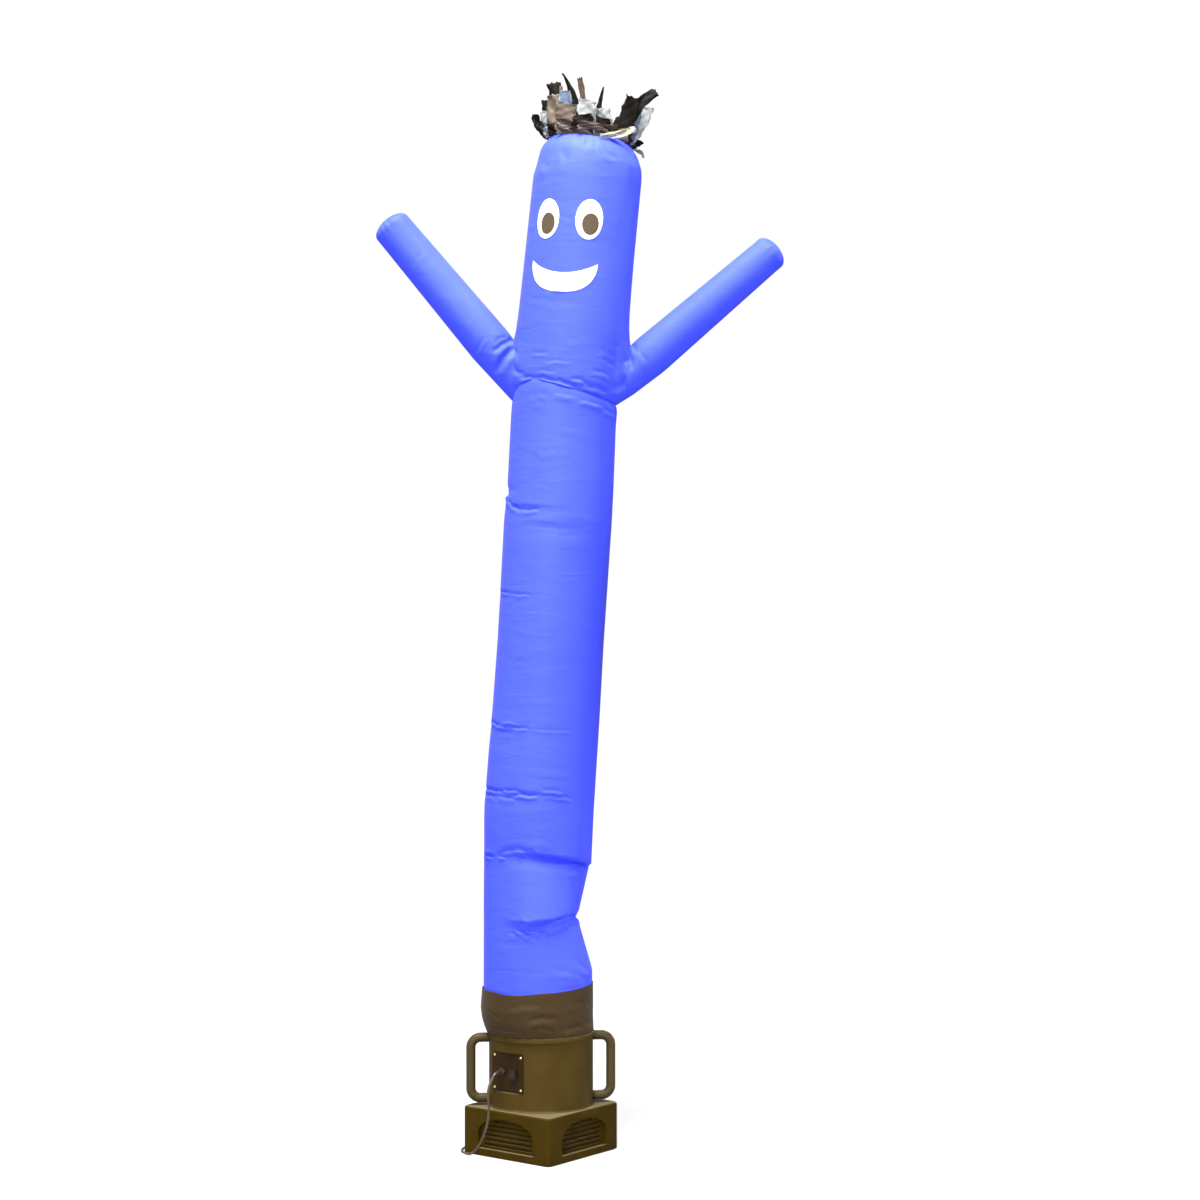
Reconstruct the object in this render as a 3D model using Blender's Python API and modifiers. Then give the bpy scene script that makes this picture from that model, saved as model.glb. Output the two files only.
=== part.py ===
"""An inflatable air dancer standing on its blower: metres, +Z up, the face towards -Y.

The origin is the centre of the blower's underside. The cloth figure is a leaning tube of thin
walls, open inside from the blower's neck to the head. Azimuth 0 faces -Y and grows towards +X.
"""

import math
from collections import namedtuple

import bmesh
import bpy
import numpy as np
from mathutils import Matrix, Vector

# Fits
GAP = 0.0004  # between pieces that touch
CLOTH = 0.0015  # wall of the tube's fabric
COLLAR_CLOTH = 0.002
PATCH = 0.001  # sewn-on face pieces
AROUND = 32  # columns round the trunk
ARM_AROUND = 16

# Blower
BASE_SIDE = 0.322
BASE_HEIGHT = 0.138
BASE_CORNER = 0.014
BASE_TURN = 7.0  # azimuth of its front corner, in degrees
HOUSING_RADIUS = 0.1508
LIP_RADIUS = 0.1550
LIP_BOTTOM = 0.334
LIP_TOP = 0.350
NECK_RADIUS = 0.1455
NECK_TOP = 0.385
VENT_WIDTH = 0.205
VENT_SILL = 0.022
VENT_SPRING = 0.068  # where the arch starts
VENT_CROWN = 0.114
VENT_DEPTH = 0.012
VENT_STEPS = 10  # of the arch
SLOT_HEIGHT = 0.007
SLOT_PITCH = 0.0135
SLOT_COUNT = 6
SLOT_EDGE = 0.008  # from the vent's edge to its slots
SLOT_DEPTH = 0.010
HOUSING_STEPS = 48
NECK_WALL = 0.004
HANDLE_TUBE = 0.027  # diameter
HANDLE_REACH = 0.2037  # axis of the grip from the blower's axis
HANDLE_TOP = 0.346
HANDLE_BOTTOM = 0.158
HANDLE_CORNER = 0.028
HANDLE_AZIMUTHS = {"handle_left": -83.0, "handle_right": 97.0}

# Switch panel, set on a flat cut into the housing
PANEL_AZIMUTH = -39.0
PANEL_CENTRE = (-0.003, 0.247)  # along the panel, and height
PANEL_SIZE = (0.116, 0.112)
PANEL_CORNER = 0.008
PANEL_SEAT = 0.1410  # distance of the flat cut from the blower's axis
PANEL_FRONT = 0.1438
SEAT_EDGE = 0.001
SCREW_SPACING = (0.098, 0.093)
SCREW_RADIUS = 0.0042
SCREW_HEAD = 0.0026
BEZEL_CENTRE = (0.020, 0.2445)
BEZEL_SIZE = (0.026, 0.033)
BEZEL_HEIGHT = 0.0056
ROCKER_SIZE = (0.0200, 0.0252)
ROCKER_PIVOT = 0.1477
ROCKER_TILT = 8.0
ROCKER_FACE = 0.0045  # from the pivot to the ridge of its face
ROCKER_BACK = 0.0018
TRUNNION_RADIUS = 0.0014
GLAND_CENTRE = (-0.022, 0.2475)
GLAND_HEX = 0.012  # across flats, halved
GLAND_NUT = 0.009
RELIEF_STRAIGHT = 0.008
RELIEF_BEND = 0.030
RELIEF_TURN = 55.0
RELIEF_WIDE = 0.0135  # diameters at its root and its end
RELIEF_NARROW = 0.0085

# Mains lead
CORD = 0.007  # diameter
CORD_STEP = 0.016
COIL_CENTRE = (-0.140, 0.206)
COIL_TURN_RADII = (0.0314, 0.0387, 0.0460)  # of the turns on the floor
COIL_LAYER = 0.0072  # rise of the second layer
PLUG_REAR = (-0.112, 0.252)
PLUG_LENGTH = 0.044
PLUG_SIZE = (0.026, 0.023)
PLUG_TURN = -90.0
BLADE_LENGTH = 0.016

# Cloth tube, by sections square to its axis. Lean tips a section down towards +X.
Section = namedtuple("Section", "height centre_x radius lean")
SECTIONS = (
    Section(0.455, -0.009, 0.1568, -2.1),
    Section(0.500, -0.009, 0.1576, -2.1),
    Section(0.668, -0.009, 0.1575, -5.0),
    Section(0.826, -0.010, 0.1556, 5.0),
    Section(1.000, -0.006, 0.1594, 4.0),
    Section(1.044, -0.002, 0.1583, 4.0),
    Section(1.200, 0.009, 0.1572, 4.0),
    Section(1.276, 0.015, 0.1560, 4.0),
    Section(1.478, 0.028, 0.1540, 4.0),
    Section(1.826, 0.049, 0.1563, 4.0),
    Section(1.914, 0.056, 0.1540, 4.0),
    Section(2.117, 0.065, 0.1527, 4.3),
    Section(2.378, 0.091, 0.1608, 5.3),
    Section(2.596, 0.112, 0.1582, 5.5),
    Section(2.813, 0.134, 0.1570, 5.7),
    Section(2.858, 0.138, 0.1532, 5.7),
    Section(2.888, 0.141, 0.1430, 5.7),
    Section(2.907, 0.143, 0.1290, 5.7),
    Section(2.915, 0.144, 0.1140, 5.7),
    Section(2.917, 0.145, 0.0600, 5.7),
)
# Folds of the tube: a crease at its height, straight-sided up to above and down to below it,
# deepest at its azimuth and gone a reach either side of that, in degrees. It arches up in front.
Fold = namedtuple("Fold", "height azimuth reach depth above below arch")
FOLDS = (
    Fold(0.668, 95, 115, 0.0430, 0.160, 0.148, 0.000),
    Fold(0.846, 45, 120, 0.0130, 0.006, 0.178, 0.015),
    Fold(1.033, -45, 120, 0.0060, 0.006, 0.080, 0.005),
    Fold(1.225, -50, 95, 0.0050, 0.006, 0.070, 0.000),
    Fold(1.608, -50, 75, 0.0035, 0.006, 0.060, 0.000),
    Fold(1.806, -10, 60, 0.0035, 0.006, 0.045, 0.000),
    Fold(1.855, -40, 65, 0.0050, 0.006, 0.044, 0.000),
    Fold(1.903, -88, 45, 0.0060, 0.018, 0.018, 0.000),
)
# Seam between the lower tube and the chest, as its height round the tube.
SeamPoint = namedtuple("SeamPoint", "azimuth height")
CHEST_SEAM = (
    SeamPoint(-90, 2.139),
    SeamPoint(-64, 2.178),
    SeamPoint(-37, 2.214),
    SeamPoint(-4, 2.205),
    SeamPoint(50, 2.182),
    SeamPoint(70, 2.156),
    SeamPoint(90, 2.136),
    SeamPoint(110, 2.160),
    SeamPoint(145, 2.200),
    SeamPoint(180, 2.206),
    SeamPoint(215, 2.206),
    SeamPoint(245, 2.180),
)
SEAM_DRAW = 0.009  # how far the seam pulls the cloth in
SEAM_FADE = 0.013
SEAM_ROWS = (0.0, 0.010, 0.024, 0.048)
CHEST_CLEAR = 2.300  # above this the chest's rows are level
ARM_HOLE_EDGE = 0.001

CollarRow = namedtuple("CollarRow", "height centre_x radius lean")
COLLAR = (
    CollarRow(0.3504, -0.003, 0.1540, 0.0),
    CollarRow(0.364, -0.006, 0.1572, -0.5),
    CollarRow(0.388, -0.010, 0.1605, -1.2),
    CollarRow(0.424, -0.012, 0.1632, -2.1),
    CollarRow(0.455, -0.011, 0.1620, -2.1),
    CollarRow(0.482, -0.010, 0.1608, -2.1),
)

# Arms, in the plane y = 0: from the trunk's wall to the middle of the blunt tip. They are drawn
# in at the root, fullest a little way out, and taper to the tip.
Arm = namedtuple("Arm", "wall tip root_radius full_radius tip_radius")
ARMS = {
    "arm_left": Arm((-0.076, 2.252), (-0.450, 2.699), 0.0585, 0.0640, 0.0560),
    "arm_right": Arm((0.232, 2.233), (0.686, 2.622), 0.0540, 0.0610, 0.0515),
}
ARM_FULL = 0.2  # share of the way out where an arm is fullest
ARM_ROOT_INSIDE = 0.100
ARM_ROWS = (0.0, 0.1, 0.2, 0.45, 0.7, 0.9, 1.0)  # shares of the way from wall to tip
ARM_TIP_LENGTH = 0.030
ARM_TIP_ROWS = (0.5, 0.8, 0.96)  # shares of the rounded end's length

# Face: angles round the trunk in degrees, heights and sizes in metres.
EYE_AZIMUTHS = {"left": -39.0, "right": 7.5}
EYE_HEIGHT = 2.6745
EYE_SIZE = (0.080, 0.114)
PUPIL_DROP = 0.0125
PUPIL_TURN = 1.5  # azimuth from the eye's
PUPIL_SIZE = (0.049, 0.062)
FACE_RADIUS = 0.160
MOUTH_AZIMUTH = -16.5
MOUTH_HALF = 37.5
MOUTH_TIPS = 2.556
MOUTH_TOP_SAG = 0.033
MOUTH_BOTTOM_SAG = 0.087

# Foil strips of the hair, from a ring on the crown. Azimuth places the root, out and side
# lean the strip, curl bends it outwards along its length, and twist turns its flat.
HAIR_HEIGHT = 2.9157
HAIR_RADIUS = 0.1105
HAIR_BAND = 0.008
HAIR_BAND_THICKNESS = 0.002
HAIR_FOIL = 0.0012
HAIR_ROOT_SHARE = 0.7  # of a root's pitch that its strip takes
Strip = namedtuple("Strip", "length width out side curl twist")
STRIPS = (
    Strip(0.130, 0.034, 20, 0, 20, 10),
    Strip(0.175, 0.026, -4, -8, 4, 75),
    Strip(0.150, 0.026, 4, 2, 4, 70),
    Strip(0.085, 0.034, 36, 0, 20, 0),
    Strip(0.145, 0.034, 14, 14, 10, 10),
    Strip(0.135, 0.034, 20, 2, 24, 10),
    Strip(0.100, 0.034, 24, -4, 12, 0),
    Strip(0.085, 0.030, 66, 0, 50, 0),
    Strip(0.120, 0.032, 16, -4, 16, 15),
    Strip(0.150, 0.034, 0, 2, 10, 0),
    Strip(0.165, 0.032, 16, -2, 12, 15),
    Strip(0.185, 0.034, -4, 2, 10, 0),
    Strip(0.170, 0.032, 14, 2, 8, 0),
    Strip(0.150, 0.034, -2, -2, 10, 20),
    Strip(0.130, 0.032, 18, 2, 14, 10),
    Strip(0.105, 0.034, 8, -4, 14, 0),
    Strip(0.080, 0.032, 38, 2, 18, 0),
    Strip(0.135, 0.034, 8, 2, 8, 20),
    Strip(0.160, 0.034, 18, -2, -14, 0),
    Strip(0.180, 0.030, -2, -5, 4, 30),
)
HAIR_FIRST_AZIMUTH = -16.0
STRIP_STEPS = 5
STRIP_CRUMPLE = 0.004
TIP_SHARE = 0.65  # of its width that a strip's tip keeps

# Route of the lead below its strain relief, to the coil, as x, y, z.
ROUTE = (
    (-0.1445, -0.1425, 0.1900),
    (-0.1450, -0.1435, 0.1500),
    (-0.1490, -0.1395, 0.1080),
    (-0.1620, -0.1240, 0.0660),
    (-0.1800, -0.1010, 0.0300),
    (-0.1970, -0.0780, 0.0090),
    (-0.2125, -0.0560, CORD / 2),
    (-0.2275, -0.0270, CORD / 2),
    (-0.2275, 0.0080, CORD / 2),
    (-0.2170, 0.0420, CORD / 2),
    (-0.2045, 0.0750, CORD / 2),
    (-0.1940, 0.1080, CORD / 2),
    (-0.1875, 0.1440, CORD / 2),
    (-0.1860, 0.1795, CORD / 2),
)

for old in list(bpy.data.objects):
    bpy.data.objects.remove(old, do_unlink=True)
PARTS = bpy.data.collections.new("air_dancer")
CUTTERS = bpy.data.collections.new("cutters")
for collection in (PARTS, CUTTERS):
    bpy.context.scene.collection.children.link(collection)


def finish(name, colour, roughness, metallic=0.0):
    """A plain material."""
    material = bpy.data.materials.new(name)
    material.use_nodes = True
    shader = material.node_tree.nodes["Principled BSDF"]
    shader.inputs["Base Color"].default_value = (*colour, 1.0)
    shader.inputs["Roughness"].default_value = roughness
    shader.inputs["Metallic"].default_value = metallic
    return material


BLUE_NYLON = finish("blue_nylon", (0.14, 0.19, 0.93), 0.55)
BROWN_NYLON = finish("brown_nylon", (0.07, 0.05, 0.03), 0.7)
WHITE_PATCH = finish("white_patch", (0.95, 0.95, 0.95), 0.6)
PUPIL_PATCH = finish("pupil_patch", (0.18, 0.13, 0.09), 0.6)
HAIR_FILM = finish("hair_film", (0.25, 0.24, 0.23), 0.25, 0.8)
BLOWER_PLASTIC = finish("blower_plastic", (0.09, 0.065, 0.03), 0.5)
GRILLE_PLASTIC = finish("grille_plastic", (0.035, 0.026, 0.015), 0.6)
HANDLE_PLASTIC = finish("handle_plastic", (0.08, 0.05, 0.035), 0.45)
PANEL_STEEL = finish("panel_steel", (0.04, 0.03, 0.02), 0.4)
SCREW_BRASS = finish("screw_brass", (0.75, 0.62, 0.25), 0.3, 1.0)
GLAND_PLASTIC = finish("gland_plastic", (0.03, 0.028, 0.026), 0.4)
SWITCH_PLASTIC = finish("switch_plastic", (0.02, 0.02, 0.02), 0.3)
LEAD_RUBBER = finish("lead_rubber", (0.05, 0.045, 0.04), 0.35)
PLUG_BRASS = finish("plug_brass", (0.7, 0.6, 0.35), 0.25, 1.0)


def add(name, data, material, collection=PARTS, parent=None):
    """Put a mesh or a curve into the scene as one object."""
    piece = bpy.data.objects.new(name, data)
    collection.objects.link(piece)
    data.materials.clear()
    if material:
        data.materials.append(material)
    piece.parent = parent
    if collection is CUTTERS:
        piece.hide_render = True
        piece.display_type = "WIRE"
    return piece


def smooth_shade(mesh, angle=30.0):
    """Shade round faces smooth, and keep edges sharper than the angle."""
    mesh.shade_smooth()
    mesh.set_sharp_from_angle(angle=math.radians(angle))


def mesh_of(name, build):
    """A mesh that the given function fills in."""
    shape = bmesh.new()
    build(shape)
    mesh = bpy.data.meshes.new(name)
    shape.to_mesh(mesh)
    shape.free()
    return mesh


def loft(name, rings, first_cap=False, last_cap=False, loop=True):
    """A skin through rows of points: rows x columns x 3, each row a loop unless loop is off."""
    rows, columns = rings.shape[:2]
    index = np.arange(rows * columns).reshape(rows, columns)
    right = np.roll(index, -1, axis=1) if loop else index[:, 1:]
    left = index if loop else index[:, :-1]
    quads = np.stack([left[:-1], right[:-1], right[1:], left[1:]], axis=-1).reshape(-1, 4)
    faces = quads.tolist()
    if first_cap:
        faces.append(index[0][::-1].tolist())
    if last_cap:
        faces.append(index[-1].tolist())
    mesh = bpy.data.meshes.new(name)
    mesh.from_pydata(rings.reshape(-1, 3).tolist(), [], faces)
    smooth_shade(mesh)
    return mesh


def solidify(piece, thickness):
    """Give a skin its wall, inwards from the skin."""
    wall = piece.modifiers.new("wall", "SOLIDIFY")
    wall.thickness = thickness
    wall.offset = -1.0


def cut(piece, cutter):
    """Cut the cutter's shape out of a piece."""
    boolean = piece.modifiers.new("cut_" + cutter.name, "BOOLEAN")
    boolean.operation = "DIFFERENCE"
    boolean.object = cutter


def join(piece, other):
    """Join another shape, kept with the cutters, to a piece."""
    boolean = piece.modifiers.new("join_" + other.name, "BOOLEAN")
    boolean.operation = "UNION"
    boolean.object = other


def turned(name, profile, steps, material, parent=None, collection=PARTS):
    """A turned solid: radius and height pairs, down the outer side from the top."""
    outline = bpy.data.meshes.new(name)
    points = [(radius, 0.0, height) for radius, height in profile]
    outline.from_pydata(points, [(i, i + 1) for i in range(len(points) - 1)], [])
    piece = add(name, outline, material, collection, parent)
    screw = piece.modifiers.new("turn", "SCREW")
    screw.axis = "Z"
    screw.steps = steps
    screw.render_steps = steps
    screw.use_merge_vertices = True
    screw.merge_threshold = 0.00001
    return piece


def tube(name, points, diameter, material, resolution=2, widths=None, parent=None):
    """A round tube along points, with its own width at each where widths are given."""
    curve = bpy.data.curves.new(name, "CURVE")
    curve.dimensions = "3D"
    curve.bevel_depth = diameter / 2
    curve.bevel_resolution = resolution
    curve.use_fill_caps = True
    spline = curve.splines.new("POLY")
    spline.points.add(len(points) - 1)
    for i, point in enumerate(points):
        spline.points[i].co = (*point, 1.0)
        spline.points[i].radius = widths[i] / diameter if widths else 1.0
    return add(name, curve, material, PARTS, parent)


def block(name, size, centre, material, parent=None, collection=PARTS, bevel=0.0):
    """A box with its middle at the centre, its edges rounded by the bevel."""

    def build(shape):
        bmesh.ops.create_cube(shape, size=1.0)
        bmesh.ops.scale(shape, vec=size, verts=shape.verts)
        bmesh.ops.translate(shape, vec=centre, verts=shape.verts)

    piece = add(name, mesh_of(name, build), material, collection, parent)
    if bevel:
        rounding = piece.modifiers.new("rounding", "BEVEL")
        rounding.width = bevel
        rounding.segments = 2
        rounding.limit_method = "ANGLE"
    return piece


def plate(name, outline, front, back, material, parent=None, collection=PARTS):
    """A flat plate: an outline of x and z pairs, anticlockwise from the front, from y = -front to -back."""
    rings = np.array([[(x, -y, z) for x, z in outline] for y in (back, front)])
    piece = add(name, loft(name, rings, True, True), material, collection, parent)
    piece.data.shade_flat()
    return piece


def facing(name, azimuth):
    """An empty at the origin whose -Y looks out at the azimuth."""
    frame = bpy.data.objects.new(name, None)
    PARTS.objects.link(frame)
    frame.rotation_euler.z = math.radians(azimuth)
    return frame


def rounded_rectangle(width, height, radius, centre=(0.0, 0.0), steps=3):
    """Points round a rectangle with round corners, anticlockwise."""
    points = []
    for corner, (across, up) in enumerate(((1, -1), (1, 1), (-1, 1), (-1, -1))):
        middle = (across * (width / 2 - radius), up * (height / 2 - radius))
        for step in range(steps + 1):
            angle = math.radians(-90 + 90 * corner + 90 * step / steps)
            x = centre[0] + middle[0] + radius * math.cos(angle)
            points.append((x, centre[1] + middle[1] + radius * math.sin(angle)))
    return points


def column(rows, name):
    """One named column of a table."""
    return np.array([getattr(row, name) for row in rows], float)


def fold_depth(height, azimuth):
    """How far the folds draw the tube in: straight to each crease, and fading round the tube."""
    depth = np.zeros(np.broadcast(height, azimuth).shape)
    for fold in FOLDS:
        rise = height - fold.height - fold.arch * np.cos(azimuth)
        along = np.clip(1 - np.where(rise > 0, rise / fold.above, -rise / fold.below), 0, 1)
        turn = (azimuth - math.radians(fold.azimuth) + math.pi) % (2 * math.pi) - math.pi
        share = np.clip(turn / math.radians(fold.reach), -1, 1)
        depth = depth + fold.depth * along * np.cos(share * math.pi / 2) ** 2
    return depth


def seam_height(azimuth):
    """Height of the chest seam round the tube."""
    return np.interp(
        np.degrees(azimuth), column(CHEST_SEAM, "azimuth"), column(CHEST_SEAM, "height"), period=360
    )


def trunk_point(height, azimuth, out=0.0, rows=SECTIONS):
    """Points round the tube's sections, straight between their rows, the given way off the cloth."""
    heights = column(rows, "height")
    centre_x, radius, lean = (
        np.interp(height, heights, column(rows, name)) for name in ("centre_x", "radius", "lean")
    )
    lean = np.radians(lean)
    reach = radius + out
    if rows is SECTIONS:
        from_seam = np.abs(height - seam_height(azimuth))
        reach = reach - fold_depth(height, azimuth) - SEAM_DRAW * np.exp(-from_seam / SEAM_FADE)
    side = reach * np.sin(azimuth)
    across = centre_x + side * np.cos(lean)
    return np.stack([across, -reach * np.cos(azimuth), height - side * np.sin(lean)], axis=-1)


def ring_azimuths(count):
    """Azimuths of a ring's columns."""
    return np.linspace(-math.pi, math.pi, count, endpoint=False)


def lower_heights(azimuths):
    """Rows of the lower tube: its sections and creases, then rows that follow the chest seam."""
    levels = {row.height for row in SECTIONS if row.height < 2.1}
    for fold in FOLDS:
        levels |= {fold.height, fold.height + fold.above, fold.height - fold.below}
    level = np.array(sorted(levels))
    level = level[np.append(np.diff(level) > 0.0045, True)]
    seam = seam_height(azimuths)
    level_rows = np.repeat(level[:, None], len(azimuths), axis=1)
    seam_rows = seam[None, :] - np.array(SEAM_ROWS[::-1])[:, None]
    return np.concatenate([level_rows, seam_rows])


def upper_heights(azimuths, start):
    """Rows of the chest and head: rows that follow the seam, then level ones to the crown."""
    level = np.array([CHEST_CLEAR] + [row.height for row in SECTIONS if row.height > CHEST_CLEAR])
    seam_rows = seam_height(azimuths)[None, :] + start + np.array(SEAM_ROWS)[:, None]
    return np.concatenate([seam_rows, np.repeat(level[:, None], len(azimuths), axis=1)])


def build_trunk():
    """The lower tube, and the chest and head in one with a closed crown, both open below."""
    azimuths = ring_azimuths(AROUND)
    lower_rings = trunk_point(lower_heights(azimuths), azimuths)
    lower = add("trunk_lower", loft("trunk_lower", lower_rings), BLUE_NYLON)
    solidify(lower, CLOTH)
    upper_rings = trunk_point(upper_heights(azimuths, GAP), azimuths)
    upper = add("trunk_upper", loft("trunk_upper", upper_rings, last_cap=True), BLUE_NYLON)
    solidify(upper, CLOTH)
    return upper


def build_collar():
    """The dark cuff sewn round the tube's foot, drawn in over the blower's neck."""
    azimuths = ring_azimuths(AROUND)
    heights = np.repeat(column(COLLAR, "height")[:, None], AROUND, axis=1)
    rings = trunk_point(heights, azimuths, rows=COLLAR)
    solidify(add("collar", loft("collar", rings), BROWN_NYLON), COLLAR_CLOTH)


def arm_rings(arm, shrink=0.0, tip=True):
    """Rings of an arm from inside the trunk to its blunt tip."""
    wall, end = np.array(arm.wall), np.array(arm.tip)
    along = (end - wall) / np.linalg.norm(end - wall)
    length = np.linalg.norm(end - wall) - ARM_TIP_LENGTH
    distance = [-ARM_ROOT_INSIDE] + [share * length for share in ARM_ROWS]
    widths = (arm.root_radius, arm.full_radius, arm.tip_radius)
    radius = [arm.root_radius, *np.interp(ARM_ROWS, (0.0, ARM_FULL, 1.0), widths)]
    if tip:
        distance += [length + share * ARM_TIP_LENGTH for share in ARM_TIP_ROWS]
        radius += [arm.tip_radius * math.sqrt(1 - share**2) for share in ARM_TIP_ROWS]
    around = ring_azimuths(ARM_AROUND)
    rings = []
    for step, reach in zip(distance, radius):
        middle = wall + along * step
        across = (reach - shrink) * np.cos(around)
        x = middle[0] + along[1] * across
        z = middle[1] - along[0] * across
        rings.append(np.stack([x, (reach - shrink) * np.sin(around), z], axis=-1))
    return np.array(rings)


def build_arms(upper):
    """Two tapered tubes with closed tips, sewn on round holes in the chest."""
    azimuths = ring_azimuths(AROUND)
    seam_core = np.concatenate([lower_heights(azimuths)[-6:], upper_heights(azimuths, GAP)[1:7]])
    core = add("trunk_core", loft("trunk_core", trunk_point(seam_core, azimuths, GAP), True, True),
               None, CUTTERS)
    for name, arm in ARMS.items():
        piece = add(name, loft(name, arm_rings(arm), last_cap=True), BLUE_NYLON)
        solidify(piece, CLOTH)
        cut(piece, core)
        inside = arm_rings(arm, CLOTH + ARM_HOLE_EDGE, tip=False)[:5]
        bore = add(name + "_bore", loft(name + "_bore", inside, True, True), None, CUTTERS)
        cut(upper, bore)


def face_point(azimuth, height, out):
    """Points on the round of the head."""
    return trunk_point(height, np.radians(azimuth), out)


def patch(name, azimuth, height, out, material):
    """A thin sewn-on piece through a grid of azimuths and heights."""
    skin = loft(name, face_point(azimuth, height, out + PATCH), loop=False)
    solidify(add(name, skin, material), PATCH)


def oval_grid(size, rows=7, columns=13):
    """A square grid pressed into an oval: across and up, in metres."""
    up, across = np.meshgrid(np.linspace(-1, 1, rows), np.linspace(-1, 1, columns), indexing="ij")
    x = across * np.sqrt(1 - up**2 / 2)
    z = up * np.sqrt(1 - across**2 / 2)
    return x * size[0] / 2, z * size[1] / 2


def build_face():
    """White eyes with dark pupils, and a white crescent mouth."""
    for side, azimuth in EYE_AZIMUTHS.items():
        across, up = oval_grid(EYE_SIZE)
        turn = azimuth + np.degrees(across / FACE_RADIUS)
        patch("eye_" + side, turn, EYE_HEIGHT + up, GAP, WHITE_PATCH)
        across, up = oval_grid(PUPIL_SIZE)
        turn = azimuth + PUPIL_TURN + np.degrees(across / FACE_RADIUS)
        out = 2 * GAP + PATCH
        patch("pupil_" + side, turn, EYE_HEIGHT - PUPIL_DROP + up, out, PUPIL_PATCH)
    share = np.sin(np.linspace(-1, 1, 21) * math.radians(84))[None, :]
    top = MOUTH_TIPS - MOUTH_TOP_SAG * (1 - share**2)
    bottom = MOUTH_TIPS - MOUTH_BOTTOM_SAG * np.sqrt(1 - np.abs(share) ** 2.6)
    rise = np.linspace(0, 1, 5)[:, None]
    turn = MOUTH_AZIMUTH + MOUTH_HALF * share + 0 * rise
    patch("mouth", turn, bottom + rise * (top - bottom), GAP, WHITE_PATCH)


def strip_sections(strip, azimuth):
    """Four-cornered sections of a foil strip, from just above the ring to its tip."""
    outwards = Vector((math.sin(azimuth), -math.cos(azimuth), 0.0))
    sideways = Vector((math.cos(azimuth), math.sin(azimuth), 0.0))
    point = outwards * HAIR_RADIUS + Vector((0, 0, HAIR_BAND_THICKNESS))
    sections = []
    for i in range(1, STRIP_STEPS + 1):
        share = i / STRIP_STEPS
        out = math.radians(strip.out + strip.curl * share)
        side = math.radians(strip.side)
        ahead = Vector((0, 0, 1)) * math.cos(out) + outwards * math.sin(out)
        ahead = ahead * math.cos(side) + sideways * math.sin(side)
        point = point + ahead * (strip.length / STRIP_STEPS)
        turn = math.radians(strip.twist * share)
        flat = ahead.cross(sideways).normalized()
        across = flat.cross(ahead).normalized()
        broad = across * math.cos(turn) + flat * math.sin(turn)
        thin = flat * math.cos(turn) - across * math.sin(turn)
        middle = point + thin * STRIP_CRUMPLE * (1 if i % 2 else -1)
        broad = broad * strip.width / 2 * (TIP_SHARE if i == STRIP_STEPS else 1.0)
        thin = thin * HAIR_FOIL / 2
        corners = ((-1, -1), (1, -1), (1, 1), (-1, 1))
        sections.append([middle + broad * a + thin * b for a, b in corners])
    return sections


def build_hair():
    """A narrow ring on the crown with foil strips standing from it, as one piece."""
    pitch = 2 * math.pi / len(STRIPS)
    root = pitch * HAIR_ROOT_SHARE / 2
    azimuths = [math.radians(HAIR_FIRST_AZIMUTH) + i * pitch for i in range(len(STRIPS))]

    def build(shape):
        sides = []
        for turn in [middle + side * root for middle in azimuths for side in (-1, 1)]:
            sides.append([])
            for out, up in ((1, 0), (1, 1), (-1, 1), (-1, 0)):
                radius = HAIR_RADIUS + out * HAIR_BAND / 2
                place = (radius * math.sin(turn), -radius * math.cos(turn), up * HAIR_BAND_THICKNESS)
                sides[-1].append(shape.verts.new(place))
        for i, (side, after) in enumerate(zip(sides, sides[1:] + sides[:1])):
            for k in range(4):
                if k == 1 and i % 2 == 0:
                    continue
                far = (k + 1) % 4
                shape.faces.new((side[k], after[k], after[far], side[far]))
            if i % 2 == 0:
                below = [side[1], after[1], after[2], side[2]]
                for section in strip_sections(STRIPS[i // 2], azimuths[i // 2]):
                    above = [shape.verts.new(corner) for corner in section]
                    for k in range(4):
                        far = (k + 1) % 4
                        shape.faces.new((below[k], below[far], above[far], above[k]))
                    below = above
                shape.faces.new(below)

    hair = add("hair_strips", mesh_of("hair_strips", build), HAIR_FILM)
    hair.location = (SECTIONS[-1].centre_x, 0.0, HAIR_HEIGHT)
    hair.rotation_euler.y = math.radians(SECTIONS[-1].lean)


def vent_outline(inset):
    """A vent's arch, drawn in by the inset: a flat sill, upright sides and a low round crown."""
    half = VENT_WIDTH / 2 - inset
    points = [(-half, VENT_SILL + inset), (half, VENT_SILL + inset)]
    for step in range(VENT_STEPS + 1):
        angle = math.pi * step / VENT_STEPS
        rise = VENT_CROWN - VENT_SPRING - inset
        points.append((half * math.cos(angle), VENT_SPRING + rise * math.sin(angle)))
    return points


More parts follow.
